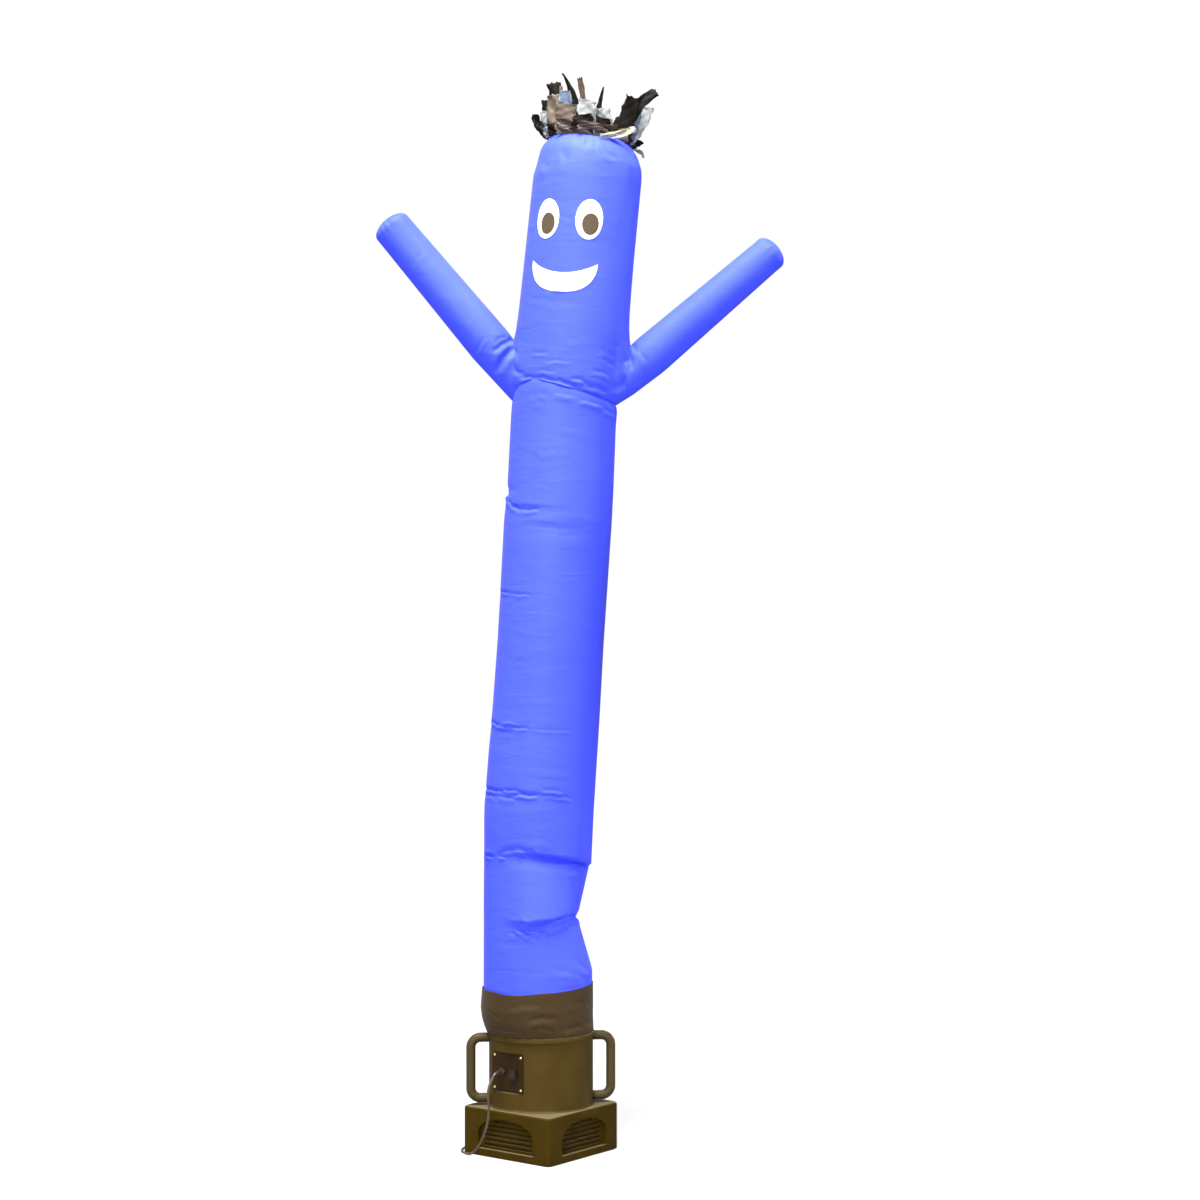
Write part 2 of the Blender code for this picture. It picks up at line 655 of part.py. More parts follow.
def build_base():
    """The foot: a round-cornered box with an arched, grooved air vent in each side."""
    turn = facing("base_frame", BASE_TURN - 45)
    outline = rounded_rectangle(BASE_SIDE, BASE_SIDE, BASE_CORNER)
    levels = ((0.0, 0.004), (0.004, 0.0), (BASE_HEIGHT - 0.007, 0.0), (BASE_HEIGHT - 0.002, 0.002),
              (BASE_HEIGHT, 0.007))
    rings = []
    for height, draw in levels:
        share = 1 - 2 * draw / BASE_SIDE
        rings.append([(x * share, y * share, height) for x, y in outline])
    base = add("blower_base", loft("blower_base", np.array(rings), True, True), BLOWER_PLASTIC)
    base.parent = turn
    side = BASE_SIDE / 2
    for quarter in range(4):
        vent_frame = facing(f"vent_frame_{quarter}", 90 * quarter)
        vent_frame.parent = turn
        recess = plate(f"vent_{quarter}", vent_outline(0.0), side + 0.01, side - VENT_DEPTH, None,
                       vent_frame, CUTTERS)
        cut(base, recess)
        for slot in range(SLOT_COUNT):
            height = VENT_SILL + SLOT_EDGE + slot * SLOT_PITCH
            above = max(height + SLOT_HEIGHT - VENT_SPRING, 0.0) / (VENT_CROWN - VENT_SPRING)
            half = (VENT_WIDTH / 2 - SLOT_EDGE) * math.sqrt(max(1 - above**2, 0.0)) - SLOT_EDGE
            groove = block(
                f"vent_{quarter}_slot_{slot}",
                (2 * half, 2 * SLOT_DEPTH, SLOT_HEIGHT),
                (0.0, -(side - VENT_DEPTH), height + SLOT_HEIGHT / 2),
                None, vent_frame, CUTTERS,
            )
            cut(base, groove)


def build_housing():
    """The round fan housing with its lip, and the open outlet ring that the cuff fits over."""
    inside, foot = NECK_RADIUS - NECK_WALL, LIP_TOP + GAP
    ring = (
        (inside, foot),
        (inside, NECK_TOP - 0.001),
        (inside + 0.001, NECK_TOP),
        (NECK_RADIUS - 0.001, NECK_TOP),
        (NECK_RADIUS, NECK_TOP - 0.001),
        (NECK_RADIUS, foot),
        (inside, foot),
    )
    turned("outlet_ring", ring, HOUSING_STEPS, BLOWER_PLASTIC)
    profile = (
        (0.0, LIP_TOP),
        (LIP_RADIUS - 0.002, LIP_TOP),
        (LIP_RADIUS, LIP_TOP - 0.003),
        (LIP_RADIUS, LIP_BOTTOM + 0.002),
        (HOUSING_RADIUS, LIP_BOTTOM - 0.002),
        (HOUSING_RADIUS, BASE_HEIGHT + 0.004),
        (HOUSING_RADIUS + 0.003, BASE_HEIGHT + GAP),
        (0.0, BASE_HEIGHT + GAP),
    )
    housing = turned("blower_housing", profile, HOUSING_STEPS, BLOWER_PLASTIC)
    seat_frame = facing("seat_frame", PANEL_AZIMUTH)
    seat = block(
        "panel_seat",
        (PANEL_SIZE[0] + 2 * SEAT_EDGE, 0.04, PANEL_SIZE[1] + 2 * SEAT_EDGE),
        (PANEL_CENTRE[0], -(PANEL_SEAT + 0.02), PANEL_CENTRE[1]),
        None, seat_frame, CUTTERS,
    )
    cut(housing, seat)


def build_handles():
    """Two grips of round bar, bent in at both ends to the housing."""
    sleeve = turned(
        "handle_sleeve",
        ((0.0, 0.40), (LIP_RADIUS + GAP, 0.40), (LIP_RADIUS + GAP, LIP_BOTTOM),
         (HOUSING_RADIUS + GAP, LIP_BOTTOM - 0.0025), (HOUSING_RADIUS + GAP, 0.10), (0.0, 0.10)),
        HOUSING_STEPS, None, None, CUTTERS,
    )
    radius = HANDLE_TUBE / 2
    top, bottom = HANDLE_TOP - radius, HANDLE_BOTTOM
    inside = HOUSING_RADIUS - 0.012
    for name, azimuth in HANDLE_AZIMUTHS.items():
        path = [(inside, top)]
        for middle, first in ((top - HANDLE_CORNER, 90), (bottom + HANDLE_CORNER, 0)):
            for step in range(5):
                angle = math.radians(first - 90 * step / 4)
                reach = HANDLE_REACH - HANDLE_CORNER * (1 - math.cos(angle))
                path.append((reach, middle + HANDLE_CORNER * math.sin(angle)))
        path.append((inside, bottom))
        curve = tube(name + "_path", [(0.0, -out, up) for out, up in path], HANDLE_TUBE, None)
        graph = bpy.context.evaluated_depsgraph_get()
        mesh = bpy.data.meshes.new_from_object(curve.evaluated_get(graph))
        bpy.data.objects.remove(curve, do_unlink=True)
        shape = bmesh.new()
        shape.from_mesh(mesh)
        bmesh.ops.remove_doubles(shape, verts=shape.verts, dist=0.00001)
        shape.to_mesh(mesh)
        shape.free()
        grip = add(name, mesh, HANDLE_PLASTIC)
        grip.rotation_euler.z = math.radians(azimuth)
        smooth_shade(mesh, 40)
        cut(grip, sleeve)


def build_panel():
    """The switch panel: four screws, a rocker in its bezel and the lead's gland."""
    front = facing("panel_frame", PANEL_AZIMUTH)
    across, up = PANEL_CENTRE
    outline = rounded_rectangle(*PANEL_SIZE, PANEL_CORNER, PANEL_CENTRE)
    plate("switch_panel", outline, PANEL_FRONT, PANEL_SEAT + GAP, PANEL_STEEL, front)
    corners = [(side, level) for level in (1, -1) for side in (-1, 1)]
    for number, (side, level) in enumerate(corners, 1):
        profile = [
            (SCREW_RADIUS * math.sin(angle), SCREW_HEAD * math.cos(angle))
            for angle in np.linspace(0, math.pi / 2, 4)
        ] + [(0.0, 0.0)]
        screw = turned(f"panel_screw_{number}", profile, 16, SCREW_BRASS, front)
        screw.rotation_euler.x = math.radians(90)
        screw.location = (
            across + side * SCREW_SPACING[0] / 2, -(PANEL_FRONT + GAP), up + level * SCREW_SPACING[1] / 2
        )
    build_rocker(front)
    build_gland(front)


def build_rocker(front):
    """The power switch: a rocker on two pins in the sides of its bezel."""
    across, up = BEZEL_CENTRE
    back = PANEL_FRONT + GAP
    outline = rounded_rectangle(*BEZEL_SIZE, 0.002, BEZEL_CENTRE, 2)
    bezel = plate("rocker_bezel", outline, back + BEZEL_HEIGHT, back, SWITCH_PLASTIC, front)
    window = rounded_rectangle(ROCKER_SIZE[0] + 0.001, ROCKER_SIZE[1] + 0.001, 0.001, BEZEL_CENTRE, 1)
    cut(bezel, plate("rocker_window", window, back + 0.02, back - 0.01, None, front, CUTTERS))
    rocker_frame = bpy.data.objects.new("rocker_frame", None)
    PARTS.objects.link(rocker_frame)
    rocker_frame.parent = front
    rocker_frame.location = (across, -ROCKER_PIVOT, up)
    half, reach = ROCKER_SIZE[1] / 2 - 0.0006, ROCKER_FACE
    tilt = math.radians(ROCKER_TILT)
    profile = [
        (-half, -ROCKER_BACK), (half, -ROCKER_BACK),
        (half, reach - half * math.tan(tilt)), (0.0, reach), (-half, reach - half * math.tan(tilt)),
    ]
    side = ROCKER_SIZE[0] / 2
    turn = -tilt
    rings = []
    for x in (-side, side):
        ring = []
        for level, out in profile:
            ring.append((x, -(out * math.cos(turn) - level * math.sin(turn)),
                         level * math.cos(turn) + out * math.sin(turn)))
        rings.append(ring)
    rocker = add("rocker", loft("rocker", np.array(rings)[::-1], True, True), SWITCH_PLASTIC)
    rocker.data.shade_flat()
    rocker.parent = rocker_frame
    for name, grow, reach_out, target, how in (
        ("rocker_pin", 0.0, 0.0015, rocker, join),
        ("rocker_pin_hole", GAP, 0.0022, bezel, cut),
    ):
        length = ROCKER_SIZE[0] / 2 + reach_out
        pin = turned(name, ((0.0, length), (TRUNNION_RADIUS + grow, length),
                            (TRUNNION_RADIUS + grow, -length), (0.0, -length)),
                     12, None, rocker_frame, CUTTERS)
        pin.rotation_euler.y = math.radians(90)
        how(target, pin)


def build_gland(front):
    """The lead's gland: a hexagonal nut, and a tapered relief that turns down and out."""
    across, up = GLAND_CENTRE
    back = PANEL_FRONT + GAP
    profile = (
        (0.0, GLAND_NUT), (GLAND_HEX - 0.002, GLAND_NUT), (GLAND_HEX, GLAND_NUT - 0.002),
        (GLAND_HEX, 0.0), (0.0, 0.0),
    )
    nut = turned("cord_gland", profile, 6, GLAND_PLASTIC, front)
    nut.rotation_euler = (math.radians(90), 0.0, 0.0)
    nut.location = (across, -back, up)
    nut.data.shade_flat()
    line = relief_line()
    widths = list(np.linspace(RELIEF_WIDE, RELIEF_NARROW, len(line)))
    tube("strain_relief", line, RELIEF_WIDE, GLAND_PLASTIC, 2, widths)


def relief_line():
    """The relief's middle line: straight out of the nut, then round and down."""
    steps = [(0.0, 0.0), (RELIEF_STRAIGHT / 2, 0.0)]
    for step in range(5):
        angle = math.radians(RELIEF_TURN * step / 4)
        steps.append((RELIEF_STRAIGHT + RELIEF_BEND * math.sin(angle),
                      RELIEF_BEND * (1 - math.cos(angle))))
    across, up = GLAND_CENTRE
    root = PANEL_FRONT + GLAND_NUT + 2 * GAP
    turn = Matrix.Rotation(math.radians(PANEL_AZIMUTH), 3, "Z")
    return [turn @ Vector((across, -(root + out), up - down)) for out, down in steps]


def smooth_line(points, step):
    """Points a step apart along a smooth curve through the given ones."""
    points = [Vector(p) for p in points]
    ends = [points[0] * 2 - points[1], *points, points[-1] * 2 - points[-2]]
    dense = []
    for a, b, c, d in zip(ends, ends[1:], ends[2:], ends[3:]):
        for i in range(24):
            t = i / 24
            dense.append(0.5 * ((2 * b) + (c - a) * t + (2 * a - 5 * b + 4 * c - d) * t**2
                                + (3 * b - a - 3 * c + d) * t**3))
    dense.append(points[-1])
    gaps = [(q - p).length for p, q in zip(dense, dense[1:])]
    along = np.concatenate([[0.0], np.cumsum(gaps)])
    marks = np.linspace(0.0, along[-1], max(2, round(along[-1] / step)) + 1)
    columns = [np.interp(marks, along, [p[k] for p in dense]) for k in range(3)]
    return np.stack(columns, axis=1)


def build_lead():
    """The mains lead: hanging from its relief, round the base, and put away in a coil behind."""
    before, end = relief_line()[-2:]
    ahead = (end - before).normalized()
    first = (end + ahead * GAP, end + ahead * (GAP + CORD_STEP))
    lead = tube("power_lead", smooth_line((*first, *ROUTE), CORD_STEP), CORD, LEAD_RUBBER, 2)
    lead.data.splines[0].use_smooth = True
    inner, outer = COIL_TURN_RADII[0] - CORD / 2, COIL_TURN_RADII[-1] + CORD / 2
    top = CORD + COIL_LAYER
    profile = (
        (outer - 0.002, top), (outer, top - 0.003), (outer, 0.0005), (inner, 0.0005),
        (inner, top - 0.003), (inner + 0.002, top), (outer - 0.002, top),
    )
    coil = turned("lead_coil", profile, 24, LEAD_RUBBER)
    coil.location = (*COIL_CENTRE, 0.0)
    build_plug()


def build_plug():
    """A moulded three-pin plug, lying flat beside the coil."""
    plug_frame = bpy.data.objects.new("plug_frame", None)
    PARTS.objects.link(plug_frame)
    plug_frame.location = (*PLUG_REAR, PLUG_SIZE[1] / 2)
    plug_frame.rotation_euler.z = math.radians(PLUG_TURN)
    shapes = ((0.0, 0.35), (0.006, 0.55), (0.016, 0.80), (0.026, 1.0), (PLUG_LENGTH - 0.003, 1.0),
              (PLUG_LENGTH, 0.9))
    rings = []
    for ahead, share in shapes:
        outline = rounded_rectangle(PLUG_SIZE[0] * share, PLUG_SIZE[1] * share, 0.005 * share, steps=2)
        rings.append([(x, ahead, z) for x, z in outline])
    body = add("plug_body", loft("plug_body", np.array(rings)[::-1], True, True), LEAD_RUBBER)
    body.parent = plug_frame
    blade = (0.0015, BLADE_LENGTH, 0.0063)
    for name, x in (("plug_blade_1", -0.00635), ("plug_blade_2", 0.00635)):
        piece = block(name, blade, (x, PLUG_LENGTH + GAP + BLADE_LENGTH / 2, 0.0025), PLUG_BRASS,
                      plug_frame, bevel=0.0005)
        piece.data.shade_flat()
    pin = turned("plug_earth_pin", ((0.0, BLADE_LENGTH), (0.0016, BLADE_LENGTH),
                                    (0.0024, BLADE_LENGTH - 0.002), (0.0024, 0.0), (0.0, 0.0)),
                 12, PLUG_BRASS, plug_frame)
    pin.rotation_euler.x = math.radians(-90)
    pin.location = (0.0, PLUG_LENGTH + GAP, -0.0065)


chest = build_trunk()
build_collar()
build_arms(chest)
build_face()
build_hair()
build_base()
build_housing()
build_handles()
build_panel()
build_lead()
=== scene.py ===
"""An inflatable air dancer standing on its blower, dressed for a pale studio. Metres, +Z up, face
towards -Y. Azimuth 0 faces -Y and grows towards +X."""

import math
from collections import namedtuple

import bpy
import numpy as np
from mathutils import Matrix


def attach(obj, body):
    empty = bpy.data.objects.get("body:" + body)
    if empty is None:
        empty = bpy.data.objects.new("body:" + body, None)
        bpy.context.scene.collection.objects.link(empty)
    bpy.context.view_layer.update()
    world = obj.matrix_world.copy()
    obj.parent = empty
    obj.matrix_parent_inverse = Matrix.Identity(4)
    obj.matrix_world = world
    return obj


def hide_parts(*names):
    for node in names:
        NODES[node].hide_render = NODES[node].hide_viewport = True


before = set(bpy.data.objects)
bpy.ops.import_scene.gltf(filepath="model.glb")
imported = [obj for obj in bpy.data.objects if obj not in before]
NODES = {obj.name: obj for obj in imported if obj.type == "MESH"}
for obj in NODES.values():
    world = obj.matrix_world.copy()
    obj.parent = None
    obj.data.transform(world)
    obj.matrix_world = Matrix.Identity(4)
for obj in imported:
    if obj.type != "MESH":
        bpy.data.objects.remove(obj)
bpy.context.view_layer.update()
scene = bpy.context.scene

# --- Camera ---------------------------------------------------------------------------------
# A level studio camera that faces the figure from 7.3 m, at half its height. It has a medium
# telephoto lens, and it is neither shifted nor out of focus anywhere.
CAMERA_PLACE = (0.171, -7.3, 1.597)
CAMERA_LENS = 75.5  # mm, on a sensor 36 mm wide

camera_data = bpy.data.cameras.new("studio_camera")
camera_data.lens = CAMERA_LENS
camera_data.sensor_width = 36.0
camera_data.clip_end = 100.0
camera = bpy.data.objects.new("studio_camera", camera_data)
camera.location = CAMERA_PLACE
camera.rotation_euler = (math.pi / 2, 0.0, 0.0)
scene.collection.objects.link(camera)
scene.camera = camera

# --- Mains lead -----------------------------------------------------------------------------
# A round lead of grey-brown rubber, 7 mm thick. It hangs from its strain relief and goes round
# the foot on the floor. Its spare length is wound into a flat coil of two layers, held by a tie,
# and ends in a moulded plug with brass blades.
LEAD_THICK = 0.007
LEAD_EXIT = (-0.13443, -0.13105, 0.23441)
LEAD_STRAIGHT = (-0.14115, -0.13935, 0.22250)  # where the relief still holds its direction
LeadPoint = namedtuple("LeadPoint", "x y z")


def table(kind, plain, *rows):
    """Named rows in metres, from rows in millimetres. The plain columns stay as they are."""
    shares = [1 if name in plain.split() else 1000 for name in kind._fields]
    return tuple(kind(*(value if isinstance(value, str) else value / share
                        for value, share in zip(row, shares))) for row in rows)


LEAD_ROUTE = table(LeadPoint, "",
    (-147.5, -146.5, 198), (-145, -143.5, 150), (-149, -139.5, 108), (-162, -124, 66),
    (-180, -101, 30), (-197, -78, 9), (-212.5, -56, 3.5), (-227.5, -27, 3.5),
    (-227.5, 8, 3.5), (-217, 42, 3.5), (-204.5, 75, 3.5), (-194, 108, 3.5),
    (-187.5, 144, 3.5), (-186, 179.5, 3.5))
LEAD_POINTS = 40  # from the relief to the coil
COIL_CENTRE = (-0.140, 0.206)
COIL_TURN_POINTS = 32
COIL_LIFT = 0.0072  # of the second layer
CoilStep = namedtuple("CoilStep", "turn radius layer")
COIL_STEPS = table(CoilStep, "turn layer",
    (0, 46, 0), (0.75, 46, 0), (1, 38.7, 0), (1.75, 38.7, 0), (2, 31.4, 0), (2.55, 31.4, 0),
    (2.8, 31.4, 1), (3.3, 31.4, 1), (3.55, 38.7, 1), (4.3, 38.7, 1), (4.55, 46, 1), (5.25, 46, 1))
TIE_ANGLE = 218.0  # round the coil, in degrees
TIE_WIDTH = 0.009
TIE_THICK = 0.0009
TIE_POINTS = (5, 56)  # along the coil, and round its section
LEAD_END = ((-0.133, 0.252, 0.0108), (-0.122, 0.252, 0.0112), (-0.1115, 0.252, 0.0115))


def column(rows, name):
    """One named column of a table, as an array."""
    return np.array([getattr(row, name) for row in rows], float)


def eased(x, rows, key, name):
    """A column read at x between the rows of a table, as 3s^2 - 2s^3 of the share s of the step."""
    keys, values = column(rows, key), column(rows, name)
    step = np.clip(np.searchsorted(keys, x, side="right") - 1, 0, len(keys) - 2)
    share = np.clip((x - keys[step]) / (keys[step + 1] - keys[step]), 0, 1)
    return values[step] + (values[step + 1] - values[step]) * share**2 * (3 - 2 * share)


def circle(count, start=-math.pi):
    """So many angles, evenly spaced, once round from the start."""
    return np.linspace(start, start + 2 * math.pi, count, endpoint=False)


def even_curve(points, count, steps=24):
    """So many points, evenly spaced, along a curve whose slope at each given point is half the
    way from the point before it to the point after it. It is first cut into steps between each
    two given points."""
    points = np.array(points, float)
    padded = np.concatenate([2 * points[:1] - points[1:2], points, 2 * points[-1:] - points[-2:-1]])
    a, b, c, d = padded[:-3], padded[1:-2], padded[2:-1], padded[3:]
    t = np.linspace(0, 1, steps, endpoint=False)[:, None, None]
    dense = (2 * b + (c - a) * t + (2 * a - 5 * b + 4 * c - d) * t**2
             + (3 * b - a - 3 * c + d) * t**3) / 2
    dense = np.concatenate([dense.transpose(1, 0, 2).reshape(-1, 3), points[-1:]])
    gone = np.concatenate([[0.0], np.cumsum(np.linalg.norm(np.diff(dense, axis=0), axis=1))])
    marks = np.linspace(0, gone[-1], count)
    return np.stack([np.interp(marks, gone, dense[:, k]) for k in range(3)], axis=1)


def coil_line():
    """Points of the coil, clockwise from its left side: a circle whose radius and height ease
    from one row of its table to the next."""
    turn = np.linspace(0, COIL_STEPS[-1].turn, round(COIL_STEPS[-1].turn * COIL_TURN_POINTS) + 1)[1:]
    radius = eased(turn, COIL_STEPS, "turn", "radius")
    height = LEAD_THICK / 2 + COIL_LIFT * eased(turn, COIL_STEPS, "turn", "layer")
    angle = math.pi - 2 * math.pi * turn
    return np.stack([COIL_CENTRE[0] + radius * np.cos(angle),
                     COIL_CENTRE[1] + radius * np.sin(angle), height], axis=1)


def feed(node, inputs):
    """Set a shader node's inputs to values, or wire them to sockets. A node given as an input
    stands for the first of its outputs in use."""
    for name, value in inputs.items():
        if isinstance(value, bpy.types.Node):
            value = next(socket for socket in value.outputs if socket.enabled)
        if isinstance(value, bpy.types.NodeSocket):
            node.id_data.links.new(value, node.inputs[name])
        else:
            node.inputs[name].default_value = value


def wired(tree, kind, inputs, **settings):
    """A new shader node of a kind, with its settings and its inputs."""
    node = tree.nodes.new("ShaderNode" + kind)
    for name, value in settings.items():
        setattr(node, name, value)
    feed(node, inputs)
    return node


def blank(name):
    """A new material, its node tree and its shader."""
    material = bpy.data.materials.new(name)
    material.use_nodes = True
    return material, material.node_tree, material.node_tree.nodes["Principled BSDF"]


def two_toned(tree, drift, colour, second, full=0.70):
    """Two colours mixed by a noise, from 0.35 of it up to the full second colour."""
    tint = wired(tree, "ValToRGB", {"Fac": drift})
    for stop, place, tone in zip(tint.color_ramp.elements, (0.35, full), (colour, second)):
        stop.position = place
        stop.color = (*tone, 1.0)
    return tint


def finish(name, colour, second, roughness, grain=60.0, bump=0.0004, metallic=0.0, wear=0.08,
           gloss=0.5, painted_top_light=None):
    """A moulded or painted finish: two near colours mixed by broad noise, a roughness that drifts
    by the wear, and a fine bump of the given depth and grain (cells to the metre). Where the
    surface faces up, a lighter colour is mixed in: painted light, standing in for light from above."""
    material, tree, shader = blank(name)
    place = wired(tree, "TexCoord", {}).outputs
    broad = wired(tree, "TexNoise", {"Vector": place["Object"], "Scale": grain / 6, "Detail": 4.0})
    fine = wired(tree, "TexNoise", {"Vector": place["Object"], "Scale": grain * 8, "Detail": 3.0})
    tint = two_toned(tree, broad, colour, second)
    # Painted light: a lighter colour mixed in where the surface faces up, standing in for light from
    # above.
    if painted_top_light:
        facing = wired(tree, "SeparateXYZ", {"Vector": place["Normal"]}).outputs["Z"]
        top_light_share = wired(tree, "MapRange", {"Value": facing, "From Min": 0.55, "From Max": 1.0},
                       interpolation_type="SMOOTHSTEP")
        tint = wired(tree, "Mix", {"Factor": top_light_share, "A": tint, "B": (*painted_top_light, 1.0)}, data_type="RGBA")
    polish = wired(tree, "MapRange", {"Value": broad, "To Min": roughness - wear,
                                      "To Max": roughness + wear})
    relief = wired(tree, "Bump", {"Height": fine, "Strength": 0.5, "Distance": bump})
    feed(shader, {"Base Color": tint, "Roughness": polish, "Normal": relief, "Metallic": metallic,
                  "Specular IOR Level": gloss})
    return material


def add(name, data, material, slot, *nodes):
    """Put a piece into the scene on the main body, in place of the given nodes."""
    piece = bpy.data.objects.new(name, data)
    scene.collection.objects.link(piece)
    data.materials.append(material)
    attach(piece, "main")
    if nodes:
        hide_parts(*nodes)
    return piece


def line_curve(name, line, thick, resolution=4):
    """A round tube of the given thickness along the points of a line."""
    curve = bpy.data.curves.new(name, "CURVE")
    curve.dimensions = "3D"
    curve.bevel_depth = thick / 2
    curve.bevel_resolution = resolution
    curve.use_fill_caps = True
    spline = curve.splines.new("POLY")
    spline.points.add(len(line) - 1)
    spline.points.foreach_set("co", np.column_stack([line, np.ones(len(line))]).ravel())
    spline.use_smooth = True
    return curve


def dress(material, *names):
    """Give the named nodes a finish."""
    for name in names:
        mesh = NODES[name].data
        mesh.materials.clear()
        mesh.materials.append(material)


def quads_of(index, loop=False):
    """Faces between neighbouring rows and columns of a grid of point numbers."""
    right = np.roll(index, -1, axis=1) if loop else index[:, 1:]
    left = index if loop else index[:, :-1]
    return np.stack([left[:-1], right[:-1], right[1:], left[1:]], axis=-1)


def skin(name, grid, loop=True, ends=(False, False), keep=None, flip=False, flat=None):
    """A mesh through a grid of points, rows x columns x 3. Each row closes on itself where loop
    is on, and the first and last rows are filled where ends says so. A mask keeps some of the
    faces, and flat gives the unrolled cloth's place, in metres, as the UV map."""
    rows, columns = grid.shape[:2]
    index = np.arange(rows * columns).reshape(rows, columns)
    quads = quads_of(index, loop)
    quads = quads[keep] if keep is not None else quads.reshape(-1, 4)
    if flip:
        quads = quads[:, ::-1]
    caps = [index[0][::-1].tolist()] if ends[0] else []
    caps += [index[-1].tolist()] if ends[1] else []
    if flip:
        caps = [cap[::-1] for cap in caps]
    mesh = bpy.data.meshes.new(name)
    mesh.from_pydata(grid.reshape(-1, 3).tolist(), [], quads.tolist() + caps)
    if flat is not None:
        width = (flat[0, -1, 0] - flat[0, 0, 0]) * columns / (columns - 1)
        corners = np.empty(len(mesh.loops), np.int32)
        mesh.loops.foreach_get("vertex_index", corners)
        places = flat.reshape(-1, 2)[corners]
        if loop:
            # A face across the seam takes its first column's corners from the far edge.
            first = corners % columns == 0
            far = np.repeat((quads % columns == columns - 1).any(axis=1), 4)
            far = np.concatenate([far, np.zeros(len(corners) - len(far), bool)])
            places[first & far, 0] += width
        mesh.uv_layers.new(name="unrolled").data.foreach_set("uv", places.ravel())
    mesh.shade_smooth()
    return mesh


def walled(piece, thickness):
    """Give a skin its wall, inwards from its surface."""
    wall = piece.modifiers.new("wall", "SOLIDIFY")
    wall.thickness = thickness
    wall.offset = -1.0
    return piece


def tie_grid():
    """The tie: a rounded oblong loop about the coil's section, as powers of cos and sin, carried
    a short way along the coil's turns."""
    around = circle(TIE_POINTS[1], 0)
    low, high = COIL_STEPS[4].radius - LEAD_THICK / 2, COIL_STEPS[0].radius + LEAD_THICK / 2
    reach, rise = (high - low) / 2 + TIE_THICK, LEAD_THICK / 2 + COIL_LIFT / 2
    away = (low + high) / 2 + reach * np.sign(np.cos(around)) * np.abs(np.cos(around)) ** 0.45
    level = rise + TIE_THICK + rise * np.sign(np.sin(around)) * np.abs(np.sin(around)) ** 0.45
    along = np.linspace(-0.5, 0.5, TIE_POINTS[0])[:, None] * TIE_WIDTH
    angle = math.radians(TIE_ANGLE) + along / high
    return np.stack([COIL_CENTRE[0] + away * np.cos(angle), COIL_CENTRE[1] + away * np.sin(angle),
                     np.broadcast_to(level, TIE_POINTS)], axis=-1)


lead_rubber = finish("lead_rubber", (0.064, 0.048, 0.025), (0.080, 0.062, 0.036), 0.45, 90, 0.0001,
                     gloss=0.2)
coil_start = (COIL_CENTRE[0] - COIL_STEPS[0].radius, COIL_CENTRE[1], LEAD_THICK / 2)
lead_route = [LEAD_EXIT, LEAD_STRAIGHT, *LEAD_ROUTE, coil_start]
lead_line = np.concatenate([even_curve(lead_route, LEAD_POINTS), coil_line(), np.array(LEAD_END)])
lead_line[:, 2] = np.maximum(lead_line[:, 2], LEAD_THICK / 2)
mains_lead = add("mains_lead", line_curve("mains_lead", lead_line, LEAD_THICK), lead_rubber,
                 "lead_rubber", "power_lead", "lead_coil")
tie_tape = finish("tie_tape", (0.012, 0.012, 0.013), (0.022, 0.022, 0.024), 0.85, 400, 0.0003,
                  gloss=0.2)
screw_brass = finish("screw_brass", (0.78, 0.66, 0.28), (0.62, 0.50, 0.20), 0.28, 300, 0.0001, 1.0)
dress(lead_rubber, "plug_body")
dress(screw_brass, "plug_blade_1", "plug_blade_2", "plug_earth_pin")
coil_tie = walled(add("coil_tie", skin("coil_tie", tie_grid()), tie_tape, None), TIE_THICK)

# --- Foot -----------------------------------------------------------------------------------
# The square foot is moulded in grained olive-brown plastic. Each of its sides has an arched air
# intake, closed by a slotted grille that is part of the moulding.
# Painted light: the lighter colour that the foot's and drum's up-facing surfaces take, for the light
# that falls on their tops.
TOP_LIGHT_PAINT = (0.104, 0.081, 0.044)
base_plastic = finish("base_plastic", (0.030, 0.0172, 0.0010), (0.038, 0.023, 0.0020), 0.55, 70,
                      0.0006, gloss=0.03, painted_top_light=TOP_LIGHT_PAINT)
dress(base_plastic, "blower_base")

# --- Fan housing ----------------------------------------------------------------------------
# A round drum moulded in the same plastic, with a rolled lip round its top, a flat that carries
# the switch panel, and the open outlet ring that the cuff is drawn over.
HOUSING_RADIUS = 0.1508  # of the wall
PANEL_AZIMUTH = -39.0
PANEL_SEAT = 0.1410  # of the flat, from the axis
SEAT_BOTTOM = 0.190
SEAT_TOP = 0.304
HOUSING_COLUMNS = 160
RING_COLUMNS = 128
CRISP_HOUSING = 28.0  # edges that turn by more, in degrees, stay sharp
CRISP_RING = 40.0
LatheRow = namedtuple("LatheRow", "radius height")
HOUSING_ROWS = table(LatheRow, "",
    (153.8, 138.4), (153.6, 139.6), (152, 141), (151.1, 142.4), (150.8, 145.4),  # foot
    (150.8, 189.7), (150.8, 190), (150.8, 304), (150.8, 304.3),  # wall, cut back at the seat
    (150.8, 331), (151.4, 332.8), (153.8, 334.6), (154.7, 335.6), (155, 337),  # under the lip
    (155, 346), (154.2, 348.2), (152.6, 349.6), (150.8, 350), (130, 350), (70, 350), (4, 350))
RING_ROWS = table(LatheRow, "",
    (141.5, 350.4), (141.5, 383.8), (141.9, 384.7), (142.7, 385),
    (144.3, 385), (145.1, 384.7), (145.5, 383.8), (145.5, 350.4))


def crisp(mesh, angle):
    """Keep edges that turn by more than the angle, in degrees, sharp."""
    mesh.set_sharp_from_angle(angle=math.radians(angle))
    return mesh


def turned_rows(rows, azimuth):
    """Points of a lathe: radius times (sin, -cos) of the azimuth, at each row's height."""
    radius, height = column(rows, "radius")[:, None], column(rows, "height")[:, None]
    height = np.repeat(height, len(azimuth), axis=1)
    return np.stack([radius * np.sin(azimuth), -radius * np.cos(azimuth), height], axis=-1)


